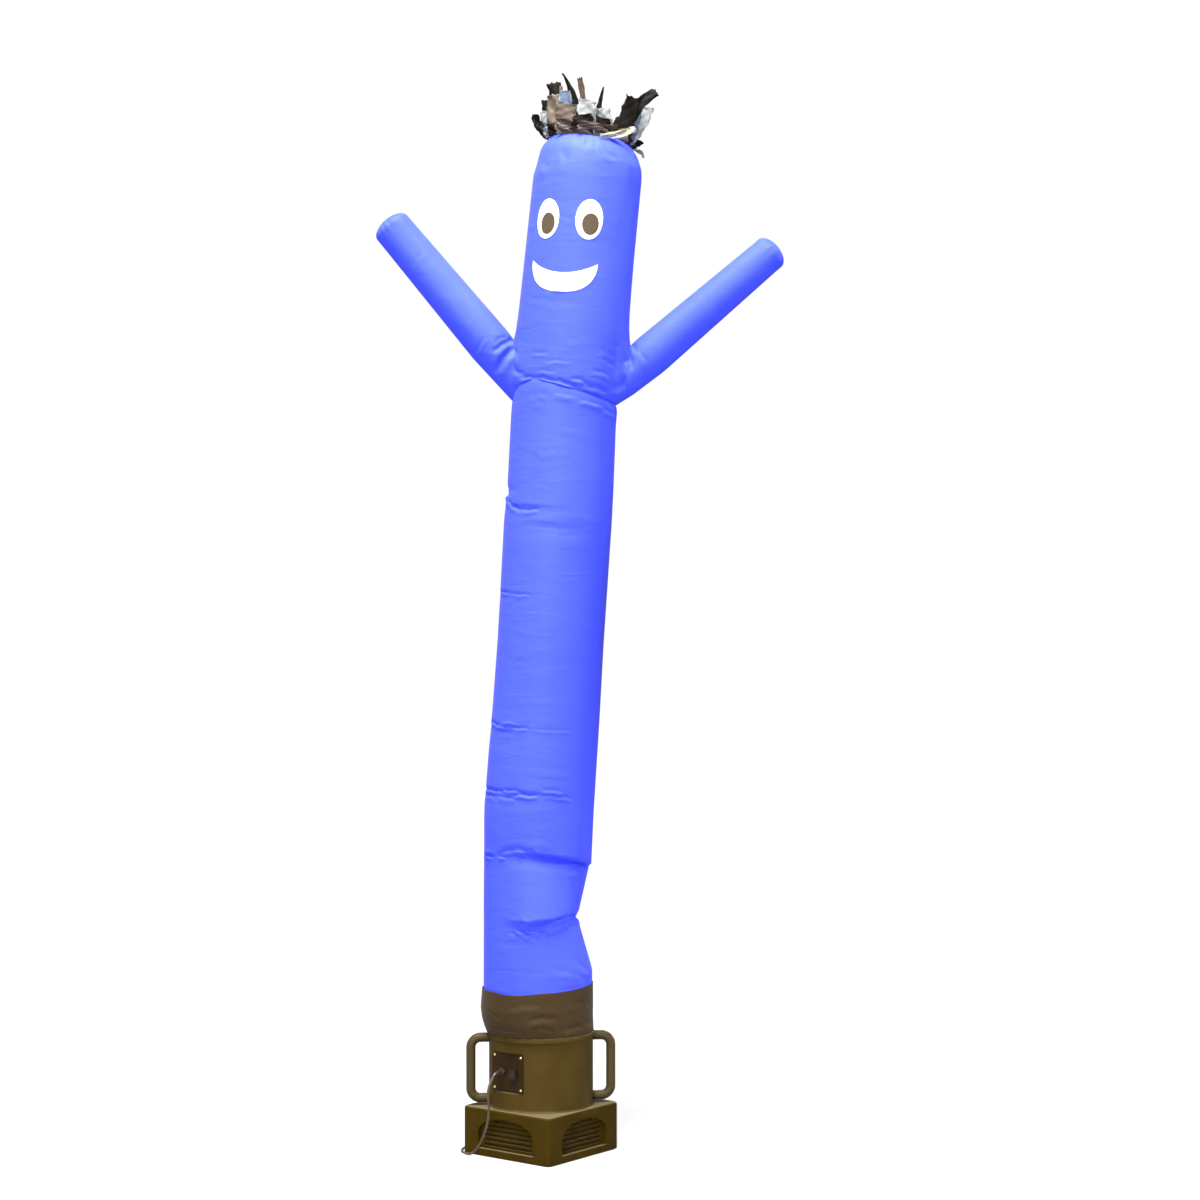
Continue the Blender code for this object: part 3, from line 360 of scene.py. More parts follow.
def housing_grid():
    """The drum: a lathe whose reach is cut back to the flat, seat / cos(turn from the panel),
    between the seat's two heights."""
    edge = math.acos(PANEL_SEAT / HOUSING_RADIUS)
    azimuth = np.sort(np.append(circle(HOUSING_COLUMNS), [-edge, edge]))
    grid = turned_rows(HOUSING_ROWS, azimuth + math.radians(PANEL_AZIMUTH))
    height = column(HOUSING_ROWS, "height")[:, None]
    radius = column(HOUSING_ROWS, "radius")[:, None]
    in_seat = (height >= SEAT_BOTTOM) & (height <= SEAT_TOP) & (np.abs(azimuth) < edge + 1e-6)
    share = np.where(in_seat, PANEL_SEAT / (radius * np.cos(azimuth)), 1.0)
    grid[..., :2] *= share[..., None]
    return grid


# The drum's up-facing surfaces, such as the top of its lip, take the same painted top light.
blower_plastic = finish("blower_plastic", (0.041, 0.0245, 0.0040), (0.052, 0.0330, 0.0066), 0.50,
                        70, 0.0006, gloss=0.06, painted_top_light=TOP_LIGHT_PAINT)
add("fan_housing", crisp(skin("fan_housing", housing_grid(), ends=(True, True)), CRISP_HOUSING),
    blower_plastic, "blower_plastic", "blower_housing")
ring_grid = turned_rows(RING_ROWS + RING_ROWS[:1], circle(RING_COLUMNS))
add("outlet_collar_ring", crisp(skin("outlet_collar_ring", ring_grid, flip=True), CRISP_RING),
    blower_plastic, "blower_plastic", "outlet_ring")

# --- Grips ----------------------------------------------------------------------------------
# Two grips of round bar, 27 mm thick, in the drum's plastic. Each is bent in at both ends and
# bolted to the drum from inside.
GRIP_THICK = 0.027
GRIP_REACH = 0.2037
GRIP_TOP = 0.3325
GRIP_BOTTOM = 0.158
GRIP_CORNER = 0.028
GRIP_ROOT = 0.146  # inside the drum's wall
GRIP_RUN = 0.012
GRIP_AZIMUTHS = {"left": -83.0, "right": 97.0}


def swept(path, radius, around, across):
    """Rings about a path that lies in a plane: the middle plus radius times (cos of the
    ring's angle along the path's normal in the plane + sin of it across the plane)."""
    ahead = np.gradient(path, axis=0)
    ahead = ahead / np.linalg.norm(ahead, axis=1, keepdims=True)
    across = np.array(across, float)
    normal = np.cross(across, ahead)
    radius = np.broadcast_to(radius, (len(path), len(around)))[..., None]
    return path[:, None, :] + radius * (normal[:, None, :] * np.cos(around)[None, :, None]
                                        + across * np.sin(around)[None, :, None])


def grip_path(azimuth):
    """A straight run out of the drum, a quarter turn, the grip, a quarter turn and a run in."""
    bend = np.radians(np.linspace(90, 0, 13))
    upper = np.stack([GRIP_REACH - GRIP_CORNER * (1 - np.cos(bend)),
                      GRIP_TOP - GRIP_CORNER + GRIP_CORNER * np.sin(bend)], axis=1)
    lower = np.stack([upper[::-1, 0], GRIP_TOP + GRIP_BOTTOM - upper[::-1, 1]], axis=1)
    root = np.array([[GRIP_ROOT, GRIP_TOP], [GRIP_ROOT + GRIP_RUN, GRIP_TOP]])
    end = np.array([[GRIP_ROOT + GRIP_RUN, GRIP_BOTTOM], [GRIP_ROOT, GRIP_BOTTOM]])
    profile = np.concatenate([root, upper, lower, end])
    reach = profile[:, 0]
    return np.stack([reach * math.sin(azimuth), -reach * math.cos(azimuth), profile[:, 1]], axis=1)


grip_plastic = finish("grip_plastic", (0.043, 0.029, 0.0105), (0.053, 0.036, 0.0140), 0.50, 80,
                      gloss=0.12)
for side, azimuth in GRIP_AZIMUTHS.items():
    turn = math.radians(azimuth)
    bar = swept(grip_path(turn), GRIP_THICK / 2, circle(32, 0), (math.cos(turn), math.sin(turn), 0.0))
    add("grip_" + side, skin("grip_" + side, bar, ends=(True, True)), grip_plastic,
        "handle_plastic", "handle_" + side)

# --- Switch panel ---------------------------------------------------------------------------
# A dark lacquered steel plate held by four brass screws. It carries the rocker switch in its
# bezel, and the nylon gland with the tapered relief that the lead hangs from.
panel_paint = finish("panel_paint", (0.017, 0.0085, 0.0012), (0.023, 0.012, 0.003), 0.45, 70,
                     0.0002, gloss=0.1)
switch_plastic = finish("switch_plastic", (0.010, 0.007, 0.004), (0.016, 0.011, 0.007), 0.25, 90,
                        0.0001, gloss=0.3)
gland_nylon = finish("gland_nylon", (0.016, 0.011, 0.007), (0.026, 0.019, 0.012), 0.34, 90, 0.0002,
                     gloss=0.3)
dress(panel_paint, "switch_panel")
dress(screw_brass, "panel_screw_1", "panel_screw_2", "panel_screw_3", "panel_screw_4")
dress(switch_plastic, "rocker", "rocker_bezel")
dress(gland_nylon, "cord_gland", "strain_relief")

# --- Cuff -----------------------------------------------------------------------------------
# A cuff of thicker brown nylon, sewn round the foot of the tube. It is gathered at its lower edge
# and drawn in over the outlet ring.
CUFF_CLOTH = 0.0008
CUFF_RADIUS = 0.16  # of the flat cloth, once rolled
CUFF_POINTS = (44, 240)  # rows and columns
CUFF_SOFT = 0.006
GATHER_TOP = 0.395  # where its gathers start
GATHER_FALL = 0.045  # how far below that they reach their full depth
SAG_AZIMUTH = math.radians(-27)
CuffRow = namedtuple("CuffRow", "height centre_x radius lean")
CUFF_ROWS = table(CuffRow, "lean",
    (350.4, -3, 154, 0),
    (364, -6, 157.2, -0.5),
    (388, -10, 160.5, -1.2),
    (424, -12, 163.2, -2.1),
    (455, -11, 162, -2.1),
    (482, -10, 160.8, -2.1))
Crease = namedtuple("Crease", "azimuth height to_azimuth to_height bow depth width lip")
CUFF_SAG = 0.009  # of its top edge at the front left
CREASE_WAVER = 0.0012  # of its line, sideways
LIP_PLACE, LIP_WIDTH = 1.9, 1.3  # of a crease's lip, in widths of its trough
CUFF_CREASES = table(Crease, "azimuth to_azimuth",
    (-72, 430, -38, 405, 4, 1.4, 6, 1),
    (-8, 402, 22, 404, 6, 3, 8.5, 2.6),
    (2, 385, 14, 372, 0, 2, 6, 1.4),
    (-30, 440, 6, 446, 5, 1.4, 8, 1.2),
    (34, 440, 70, 428, 5, 1.6, 8, 1.4),
    (24, 368, 80, 380, 4, 3.6, 7, 1.6),
    (-60, 374, -20, 366, 2, 2, 4, 1),
    (100, 420, 150, 400, 4, 2.4, 5, 1.2),
    (165, 385, 215, 395, -3, 2.4, 5, 1.2))


def turned_from(middle, azimuth):
    """The turn from a middle to an azimuth, the short way round."""
    return (azimuth - middle + math.pi) % (2 * math.pi) - math.pi


def crease_relief(azimuth, height, creases, radius):
    """How far creases move the cloth outwards. Each is a trough, -depth exp(-(d/width)^2), where
    d is the way from a bowed line between two points of the unrolled cloth, with a ridge, the
    lip, just below it. Both fade to the line's ends as the root of the sine of the share."""
    relief = np.zeros(np.broadcast(azimuth, height).shape)
    for number, crease in enumerate(creases):
        half = math.radians(crease.to_azimuth - crease.azimuth) / 2
        turn = turned_from(math.radians(crease.azimuth) + half, azimuth)
        over, up = 2 * half * radius, crease.to_height - crease.height
        long = math.hypot(over, up)
        east, north = (turn + half) * radius, height - crease.height
        share = (east * over + north * up) / long**2
        bow = crease.bow * 4 * share * (1 - share) + CREASE_WAVER * np.sin(150 * east + 2.3 * number)
        away = (north * over - east * up) / long - bow
        fade = np.sqrt(np.sin(math.pi * np.clip(share, 0, 1)))
        trough = -crease.depth * np.exp(-((away / crease.width) ** 2))
        ridge = crease.lip * np.exp(-(((away / crease.width + LIP_PLACE) / LIP_WIDTH) ** 2))
        relief = relief + fade * (trough + ridge)
    return relief


def softened(x, keys, values, reach):
    """Straight lines between a table's points, averaged over a reach either side."""
    shifts = np.linspace(-reach, reach, 7)
    return sum(np.interp(x + shift, keys, values) for shift in shifts) / len(shifts)


def leaning(height, azimuth, reach, rows, soft):
    """Points round a leaning tube: the section's middle plus the reach at the azimuth, with the
    section tilted by its lean about the Y axis."""
    keys = column(rows, "height")
    middle = softened(height, keys, column(rows, "centre_x"), soft)
    lean = np.radians(softened(height, keys, column(rows, "lean"), soft))
    side = reach * np.sin(azimuth)
    return np.stack([middle + side * np.cos(lean), -reach * np.cos(azimuth),
                     height - side * np.sin(lean)], axis=-1)


def nylon(name, colour, deep, weave=0.0050, crinkle=0.0045):
    """A thin coated nylon: a faint square grid of thicker threads on the unrolled cloth, broad
    drifts of colour, and a bump of fine creases that run round the tube."""
    material, tree, shader = blank(name)
    place = wired(tree, "TexCoord", {}).outputs["Object"]
    flat = wired(tree, "SeparateXYZ", {"Vector": wired(tree, "UVMap", {}, uv_map="unrolled")})
    threads = {}
    for number, axis in enumerate("XY"):
        away = wired(tree, "Math", {0: flat.outputs[axis], 1: weave / 2}, operation="PINGPONG")
        threads[number] = wired(tree, "MapRange", {
            "Value": away, "From Min": 0.0006, "From Max": 0.0002}, interpolation_type="SMOOTHSTEP")
    grid = wired(tree, "Math", threads, operation="MAXIMUM")
    drift = wired(tree, "TexNoise", {"Vector": place, "Scale": 3.0, "Detail": 3.0})
    tint = two_toned(tree, drift, colour, deep, 0.75)
    dim = wired(tree, "Math", {0: grid, 1: 0.25}, operation="MULTIPLY")
    thread_colour = (*(0.8 * channel for channel in colour), 1.0)
    shade = wired(tree, "Mix", {"Factor": dim, "A": tint, "B": thread_colour}, data_type="RGBA")
    squash = wired(tree, "Mapping", {"Vector": place, "Scale": (5.0, 5.0, 17.0)})
    creasing = wired(tree, "TexNoise", {"Vector": squash, "Scale": 1.6, "Detail": 5.0,
                                        "Distortion": 0.6})
    soft = wired(tree, "Bump", {"Height": creasing, "Strength": 0.55, "Distance": crinkle})
    woven = wired(tree, "Bump", {"Height": grid, "Normal": soft, "Strength": 0.25, "Distance": 0.0002})
    feed(shader, {"Base Color": shade, "Normal": woven, "Roughness": 0.50, "Specular IOR Level": 0.07,
                  "Sheen Weight": 0.04, "Sheen Roughness": 0.4})
    return material


def cuff_grid(azimuth, height):
    """The cuff: its sections, with creases and with small gathers that grow towards the draw
    line at its foot, as a sine round it. Its top edge sags as a bell at the front left."""
    keys = column(CUFF_ROWS, "height")
    reach = softened(height, keys, column(CUFF_ROWS, "radius"), CUFF_SOFT)
    gather = np.clip((GATHER_TOP - height) / GATHER_FALL, 0, 1)
    ripple = np.sin(23 * azimuth + 2.1 * np.sin(3 * azimuth)) + 0.6 * np.sin(37 * azimuth + 1.3)
    reach = reach + 0.0009 * gather * ripple
    reach = reach + crease_relief(azimuth, height, CUFF_CREASES, CUFF_RADIUS)
    share = (height - keys[0]) / (keys[-1] - keys[0])
    turn = turned_from(SAG_AZIMUTH, azimuth)
    sag = CUFF_SAG * share**3 * (np.exp(-((turn / 0.42) ** 2)) + 0.25 * np.sin(3 * azimuth + 0.4))
    return leaning(height - sag, azimuth, reach, CUFF_ROWS, CUFF_SOFT)


def unrolled(azimuth, along, radius):
    """A tube's cloth laid flat: azimuth times radius, and the way along it."""
    return np.stack([np.broadcast_to(azimuth * radius, along.shape), along], axis=-1)


brown_nylon = nylon("brown_nylon", (0.037, 0.0224, 0.0088), (0.046, 0.0288, 0.0120), crinkle=0.0030)
cuff_azimuth = circle(CUFF_POINTS[1])
cuff_height = np.linspace(CUFF_ROWS[0].height, CUFF_ROWS[-1].height, CUFF_POINTS[0])[:, None]
cuff_height = np.broadcast_to(cuff_height, CUFF_POINTS)
cuff_skin = skin("foot_cuff", cuff_grid(cuff_azimuth, cuff_height),
                 flat=unrolled(cuff_azimuth, cuff_height, CUFF_RADIUS))
cuff = walled(add("foot_cuff", cuff_skin, brown_nylon, "brown_nylon", "collar"), CUFF_CLOTH)

# --- Lower tube -----------------------------------------------------------------------------
# The long tube of blue nylon, held round by the fan's air. It buckles above the blower, where
# two creases turn it, and it has a few soft creases further up.
CLOTH = 0.0006
TUBE_RADIUS = 0.157
Section = namedtuple("Section", "height centre_x radius lean")
SECTIONS = table(Section, "lean",
    (455, -9, 156.8, -2.1),
    (500, -9, 157.6, -2.1),
    (668, -9, 157.5, -5),
    (826, -10, 155.6, 5),
    (1000, -6, 159.4, 4),
    (1044, -2, 158.3, 4),
    (1200, 9, 157.2, 4),
    (1276, 15, 156, 4),
    (1478, 28, 154, 4),
    (1826, 49, 156.3, 4),
    (1914, 56, 154, 4),
    (2117, 65, 152.7, 4.3),
    (2378, 91, 160.8, 5.3),
    (2596, 112, 158.2, 5.5),
    (2813, 134, 157, 5.7),
    (2830, 138, 155, 5.7),
    (2858, 141.5, 150.7, 5.7),
    (2888, 140, 142.2, 5.7),
    (2907, 140.5, 130.8, 5.7),
    (2920, 142, 119, 5.7),
    (2936, 142, 99, 5.7),
    (2949, 142, 70, 5.7),
    (2957, 140, 40, 5.7),
    (2960, 139, 12, 5.7))
Fold = namedtuple("Fold", "height azimuth reach depth above below arch")
FOLDS = table(Fold, "azimuth reach",
    (668, 95, 115, 43, 160, 148, 0),
    (838, 45, 120, 13, 8, 170, 23),
    (852, 0, 54, 8, 8, 40, 17),
    (692, 10, 54, -20, 166, 16, -4),
    (680, 56, 46, 11, 10, 45, 0),
    (1040, -45, 120, 3, 8, 80, 5),
    (1225, -60, 95, 2.2, 8, 70, 0),
    (1608, -60, 75, 1.6, 8, 60, 0),
    (1806, -10, 60, 3.5, 8, 45, 0),
    (1855, -40, 65, 3.6, 10, 44, 0),
    (1903, -88, 45, 6, 18, 18, 0))
SeamPoint = namedtuple("SeamPoint", "azimuth height")
CHEST_SEAM = table(SeamPoint, "azimuth",
    (-90, 2160), (-64, 2200), (-37, 2222), (-4, 2205), (50, 2182), (70, 2174),
    (90, 2176), (110, 2182), (145, 2200), (180, 2206), (215, 2206), (245, 2192))
SEAM_DRAW = (0.002, 0.010)  # at the left and at the right
SEAM_FADE = 0.013
SEAM_ROWS = ((0.003, 0.0030), (0.008, 0.0050), (0.012, 0.0055))  # rise and inset of its allowance
TUBE_COLUMNS = 176
TUBE_LEVEL = 2.10  # above it, the rows bend to follow the chest's seam
ROW_STEP = 0.0085
FINE_REACH = 0.022  # of the closer rows, from the middle of a crease
LEAN_SOFT, RADIUS_SOFT = 0.012, 0.008
TUBE_CREASES = table(Crease, "azimuth to_azimuth",
    (-84, 861, -54, 863, 1, 8, 4.5, 3.6),
    (-46, 864, -36, 866, 1, 3, 3.6, 3),
    (-82, 874, -56, 872, 1, -2.6, 4, 0),
    (-80, 848, -62, 846, 1, 3, 3.5, 2),
    (-48, 868, 0, 874, 16, 5.6, 6, 1),
    (-30, 866, -14, 862, 3, 2.4, 3.5, 2.4),
    (-14, 872, 88, 825, 1, 17, 6.4, 1),
    (-8, 897, 14, 894, 4, -2.4, 5, 0),
    (34, 822, 58, 814, 0, 6, 4, 3.6),
    (24, 812, 31, 724, 3, 3.4, 16, 0),
    (-40, 704, -16, 692, 2, 2.4, 4, 2.2),
    (-18, 690, -1, 678, 1, -5, 4.2, 0),
    (-22, 680, 0, 667, 1, 3.4, 3.4, 1),
    (-10, 661, 12, 677, 1, 7, 4, 4.2),
    (4, 671, 28, 689, 1, 8, 4.6, 5),
    (17, 683, 54, 694, 2, 9, 5.4, 5),
    (40, 693, 100, 680, 2, 9, 7, 3),
    (-4, 662, 16, 654, 1, -3.4, 3.6, 0),
    (10, 647, 42, 669, 1, -8.5, 5.6, 0),
    (-22, 658, 0, 637, 1, 6, 3.8, 6),
    (-13, 666, 7, 647, 1, 5.6, 3.8, 5.6),
    (-31, 652, -12, 632, 1, 2.6, 3.8, 2.6),
    (14, 544, 58, 514, 2, 3.6, 5, 4.4),
    (24, 512, 62, 498, 2, 2.6, 4, 3.4),
    (46, 556, 72, 524, 2, 4, 6, 4),
    (-76, 500, -24, 494, -3, 1.6, 4, 1.4),
    (-90, 1051, -42, 1051, 3, 5, 4, 3.4),
    (-82, 1036, -52, 1034, 1, 3.4, 3.6, 3.6),
    (-42, 1056, -18, 1051, 2, 3.4, 3.8, 4),
    (-28, 1044, 0, 1040, 1, 5, 4, 4.6),
    (-48, 1034, -24, 1030, 1, 2.8, 3.6, 3.6),
    (2, 1058, 26, 1050, 1, 3, 3.8, 4.4),
    (4, 1044, 38, 1030, 1, 3.6, 3.8, 3),
    (-88, 1251, -56, 1238, 1, 5, 4.2, 0),
    (-80, 1240, -46, 1226, 1, -4, 4.2, 0),
    (-56, 1220, -34, 1218, 1, 4, 3.8, 3.4),
    (-36, 1234, -16, 1232, 1, 2.6, 3.8, 2.2),
    (-50, 1244, -30, 1242, 1, -3, 3.6, 0),
    (-14, 1231, 34, 1225, -1, 1, 3.6, 0.9),
    (-54, 1426, -20, 1419, 1, 2.2, 3.2, 1.4),
    (-80, 1622, -54, 1618, 1, 2.6, 3.6, 2.6),
    (-50, 1613, -24, 1612, 1, 1.4, 3.4, 1.8),
    (-68, 1600, -46, 1598, 1, 1.2, 3.4, 1.6),
    (-76, 1892, -40, 1852, -4, 4.6, 5.2, 3.4),
    (-44, 1856, -20, 1856, -2, 3.4, 4.2, 3.4),
    (-40, 1808, 22, 1808, 1, 2, 3.2, 2.2),
    (-98, 1903, -66, 1898, 1, 6, 4.5, 4),
    (-40, 2022, 30, 2004, 3, 1.8, 3.2, 1.5),
    (-46, 2006, -8, 2012, 2, 1.4, 3, 1.2),
    (-12, 2184, 12, 2174, 2, 3.6, 4.5, 4),
    (-44, 2178, -18, 2182, 2, 2.2, 4, 2),
    (16, 2166, 46, 2150, 2, 3.4, 4.5, 4),
    (48, 2140, 76, 2126, 2, 3, 4.5, 3),
    (-40, 2158, -22, 2154, 2, 1.4, 3.6, 1.4),
    (100, 850, 180, 866, 4, 6, 5.5, 3),
    (95, 676, 160, 668, 4, 7, 6, 3.4),
    (130, 1050, 210, 1040, 3, 3, 4.5, 2),
    (150, 1330, 215, 1345, -3, 2.6, 4, 1.6),
    (95, 1560, 150, 1550, 3, 2.6, 4, 1.6),
    (170, 1760, 235, 1748, 3, 3, 4.2, 2),
    (100, 1960, 150, 1972, 2, 2.4, 3.8, 1.4),
    (140, 2170, 200, 2180, 3, 3.4, 4.5, 3))


def fold_depth(height, azimuth):
    """How far the folds draw the tube in: straight to each crease from above and below it, times
    cos^2 of the share of the way round to where the fold ends."""
    depth = np.zeros(np.broadcast(height, azimuth).shape)
    for fold in FOLDS:
        rise = height - fold.height - fold.arch * np.cos(azimuth)
        along = np.clip(1 - np.where(rise > 0, rise / fold.above, -rise / fold.below), 0, 1)
        turn = turned_from(math.radians(fold.azimuth), azimuth)
        share = np.clip(turn / math.radians(fold.reach), -1, 1)
        depth = depth + fold.depth * along * np.cos(share * math.pi / 2) ** 2
    return depth


def section(height, name, soft=LEAN_SOFT):
    """One measure of the tube's sections at a height."""
    return softened(height, column(SECTIONS, "height"), column(SECTIONS, name), soft)


def seam_height(azimuth):
    """Height of the seam between the lower tube and the chest."""
    keys, values = column(CHEST_SEAM, "azimuth"), column(CHEST_SEAM, "height")
    shifts = np.linspace(-7, 7, 7)
    return sum(np.interp(np.degrees(azimuth) + shift, keys, values, period=360) for shift in shifts) / 7


def tube_reach(height, azimuth, creases):
    """Reach of the cloth from the sections' middle: their radius, less the folds and the draw of
    the chest seam, with the creases, whose heights are those of the cloth once it leans."""
    reach = section(height, "radius", RADIUS_SOFT)
    from_seam = np.abs(height - seam_height(azimuth))
    draw = SEAM_DRAW[0] + (SEAM_DRAW[1] - SEAM_DRAW[0]) * (1 + np.sin(azimuth)) / 2
    reach = reach - fold_depth(height, azimuth) - draw * np.exp(-from_seam / SEAM_FADE)
    level = height - TUBE_RADIUS * np.sin(azimuth) * np.sin(np.radians(section(height, "lean")))
    return reach + crease_relief(azimuth, level, creases, TUBE_RADIUS)


def tube_rows(low, high, near, fine):
    """Heights from low to high, a step apart, and a finer step near the given heights."""
    rows = [np.arange(low, high, ROW_STEP)]
    rows += [np.arange(level - FINE_REACH, level + FINE_REACH, fine) for level in near]
    rows = np.unique(np.round(np.concatenate(rows), 5))
    rows = rows[(rows > low) & (rows < high)]
    rows = np.concatenate([[low], rows, [high]])
    return rows[np.append(np.diff(rows) > 0.6 * fine, True)]


blue_nylon = nylon("blue_nylon", (0.047, 0.072, 0.970), (0.054, 0.081, 0.980))
tube_azimuth = circle(TUBE_COLUMNS)
tube_azimuth = tube_azimuth - 0.45 * np.sin(tube_azimuth)  # closer together in front
low_rows = tube_rows(SECTIONS[0].height, TUBE_LEVEL, (0.672, 0.862, 1.043, 1.232, 1.615, 1.855),
                     0.0030)
seam = seam_height(tube_azimuth)
bending = np.linspace(0, 1, 14)[1:, None] ** 0.8
allowance = np.array(SEAM_ROWS)
low_height = np.concatenate([np.repeat(low_rows[:, None], TUBE_COLUMNS, axis=1),
                             TUBE_LEVEL + (seam - TUBE_LEVEL) * bending, seam + allowance[:, :1]])
low_reach = tube_reach(low_height, tube_azimuth, TUBE_CREASES)
low_reach[-len(allowance):] = low_reach[-len(allowance) - 1] - allowance[:, 1:]  # turned in
low_skin = skin("lower_tube", leaning(low_height, tube_azimuth, low_reach, SECTIONS, LEAN_SOFT),
                flat=unrolled(tube_azimuth, low_height, TUBE_RADIUS))
lower_tube = walled(add("lower_tube", low_skin, blue_nylon, "blue_nylon", "trunk_lower"), CLOTH)

# --- Chest and head -------------------------------------------------------------------------
# The chest and head are one tube of the same nylon, sewn to the lower tube and gathered to a
# flat round crown, with a round hole for each arm.
CHEST_CREASES = table(Crease, "azimuth to_azimuth",
    (-84, 2322, -66, 2300, 2, 5, 6, 3),
    (-86, 2296, -68, 2258, 3, 6, 7, 3.6),
    (-78, 2262, -50, 2236, 4, 4.4, 6, 3),
    (-62, 2232, -34, 2230, 4, 4, 5, 2.6),
    (-38, 2234, -6, 2214, 3, 3.4, 4.5, 3),
    (-34, 2250, -12, 2244, 2, 1.8, 4, 1.6),
    (-10, 2222, 12, 2200, 2, 6, 5.5, 5),
    (4, 2228, 24, 2212, 3, 4.4, 4.5, 3.4),
    (16, 2208, 52, 2192, 3, 6, 7, 3),
    (38, 2326, 62, 2316, 4, 4, 5.5, 3),
    (30, 2306, 58, 2292, 4, 4.4, 5.5, 3.4),
    (34, 2286, 56, 2262, 3, 4, 5, 3),
    (26, 2250, 50, 2236, 3, 4, 5, 3),
    (64, 2226, 54, 2320, 4, 6, 8, 6),
    (-42, 2300, -22, 2296, 3, 1.8, 4, 1.4),
    (-24, 2276, 2, 2272, 3, 1.6, 4, 1.4),
    (-8, 2330, 22, 2334, 3, 1.4, 4, 1.2),
    (-34, 2478, -2, 2480, 3, 2.2, 4, 1.8),
    (-56, 2458, -20, 2440, 2, 2.2, 4, 1.8),
    (-18, 2438, 10, 2434, 2, 1.4, 3.6, 1.2),
    (16, 2528, 30, 2526, 1, 1.4, 3.2, 1.2),
    (-72, 2690, -54, 2660, 1, 2.2, 3.6, 1.8),
    (-26, 2690, -10, 2672, 2, 2.4, 3.6, 2),
    (-22, 2660, -4, 2644, 1, 2.4, 3.6, 2),
    (-16, 2634, -2, 2628, 1, 1.6, 3.4, 1.4),
    (20, 2690, 40, 2682, 2, 2.4, 3.6, 2),
    (22, 2670, 52, 2660, 3, 2.6, 3.8, 2.2),
    (24, 2648, 46, 2630, 2, 2.4, 3.6, 1.8),
    (-62, 2790, -20, 2800, 3, 1.4, 3.6, 1.2),
    (-10, 2812, 36, 2812, 2, 1.4, 3.4, 1.2),
    (-62, 2850, -46, 2832, 2, 3, 9, 2),
    (-34, 2884, -24, 2846, 2, 2.4, 11, 1),
    (-6, 2902, 10, 2890, 2, 2.8, 10, 1.2),
    (14, 2872, 34, 2852, 2, 2.4, 8, 1.8),
    (66, 2876, 84, 2838, 2, 6, 6, 3),
    (120, 2560, 200, 2550, 4, 2.8, 4.5, 1.8),
    (150, 2320, 230, 2330, 4, 3.4, 5, 2),
    (140, 2230, 200, 2240, 4, 5, 5, 3.4),
    (110, 2740, 170, 2748, 3, 2.2, 4, 1.6))
Arm = namedtuple("Arm", "wall tip root_radius full_radius tip_radius pinch flare")
ARMS = {
    "left": Arm((-0.076, 2.252), (-0.450, 2.699), 0.0585, 0.0640, 0.0560, 0.94, 0.018),
    "right": Arm((0.232, 2.233), (0.686, 2.622), 0.0540, 0.0610, 0.0515, 0.80, 0.026),
}
ARM_PULL = 0.026  # how far from the root the chest's flare reaches
ARM_HOLE = 0.016  # how much smaller than the sleeve its hole is
SEAM_GAP = 0.0004  # between the two tubes' edges
CHEST_LEVEL = 2.30  # below it, the rows bend to follow the seam
CROWN_FOOT = 2.813  # where the tube starts to draw in
CROWN_CREASE = 2.870
CHEST_TOP = 2.8905  # of its evenly spaced rows
CROWN_ROWS = np.concatenate([np.linspace(2.893, 2.907, 7), np.linspace(2.909, 2.960, 21)])
HOLE_REACH = (-0.12, 0.2)  # along the arm, of what its hole takes away
FLARE_REACH = -0.13  # along the arm, of where its pull starts


def arm_axis(arm):
    """Start, direction and length of an arm's middle line, in the plane y = 0."""
    start, end = np.array([arm.wall[0], 0.0, arm.wall[1]]), np.array([arm.tip[0], 0.0, arm.tip[1]])
    return start, (end - start) / np.linalg.norm(end - start), float(np.linalg.norm(end - start))


def inside_arm(points, arm):
    """Which points lie within the arm's root, less the margin of its hole."""
    start, ahead, _ = arm_axis(arm)
    along = (points - start) @ ahead
    away = np.linalg.norm(points - start - along[..., None] * ahead, axis=-1)
    return (along > HOLE_REACH[0]) & (along < HOLE_REACH[1]) & (away < arm.root_radius - ARM_HOLE)


chest_levels = np.concatenate([tube_rows(CHEST_LEVEL, CHEST_TOP, (CROWN_CREASE,), 0.0040), CROWN_ROWS])
chest_foot = seam + SEAM_GAP
bending = np.linspace(0, 1, 26)[:-1, None] ** 1.15
chest_height = np.concatenate([chest_foot + (CHEST_LEVEL - chest_foot) * bending,
                               np.repeat(chest_levels[:, None], TUBE_COLUMNS, axis=1)])
drawn_in = TUBE_RADIUS - np.interp(chest_height, column(SECTIONS, "height"), column(SECTIONS, "radius"))
chest_along = chest_height + np.clip(drawn_in, 0, None) * (chest_height > CROWN_FOOT)


def arm_flare(points, height, azimuth):
    """How far the pull of the arms draws the chest out: most at each arm's root, falling off as
    an exponential of the way from it, with shallow folds that run out from the root as a sine of
    the way round it. It ends at the chest's seam."""
    flare = np.zeros(height.shape)
    for arm in ARMS.values():
        start, ahead, _ = arm_axis(arm)
        offset = points - start
        along = offset @ ahead
        away = offset - along[..., None] * ahead
        around = np.arctan2(away @ np.cross(ahead, (0.0, 1.0, 0.0)), away[..., 1])
        past = np.clip(np.linalg.norm(away, axis=-1) - arm.root_radius + 0.012, 0, None)
        pull = np.exp(-past / ARM_PULL) * (along > FLARE_REACH)
        folds = 0.30 * np.sin(9 * around + 0.6) * np.clip(past / 0.02, 0, 1)
        flare = flare + pull * arm.flare * (1 + folds)
    return flare * (1 - np.exp(-np.abs(height - seam_height(azimuth)) / 0.024))


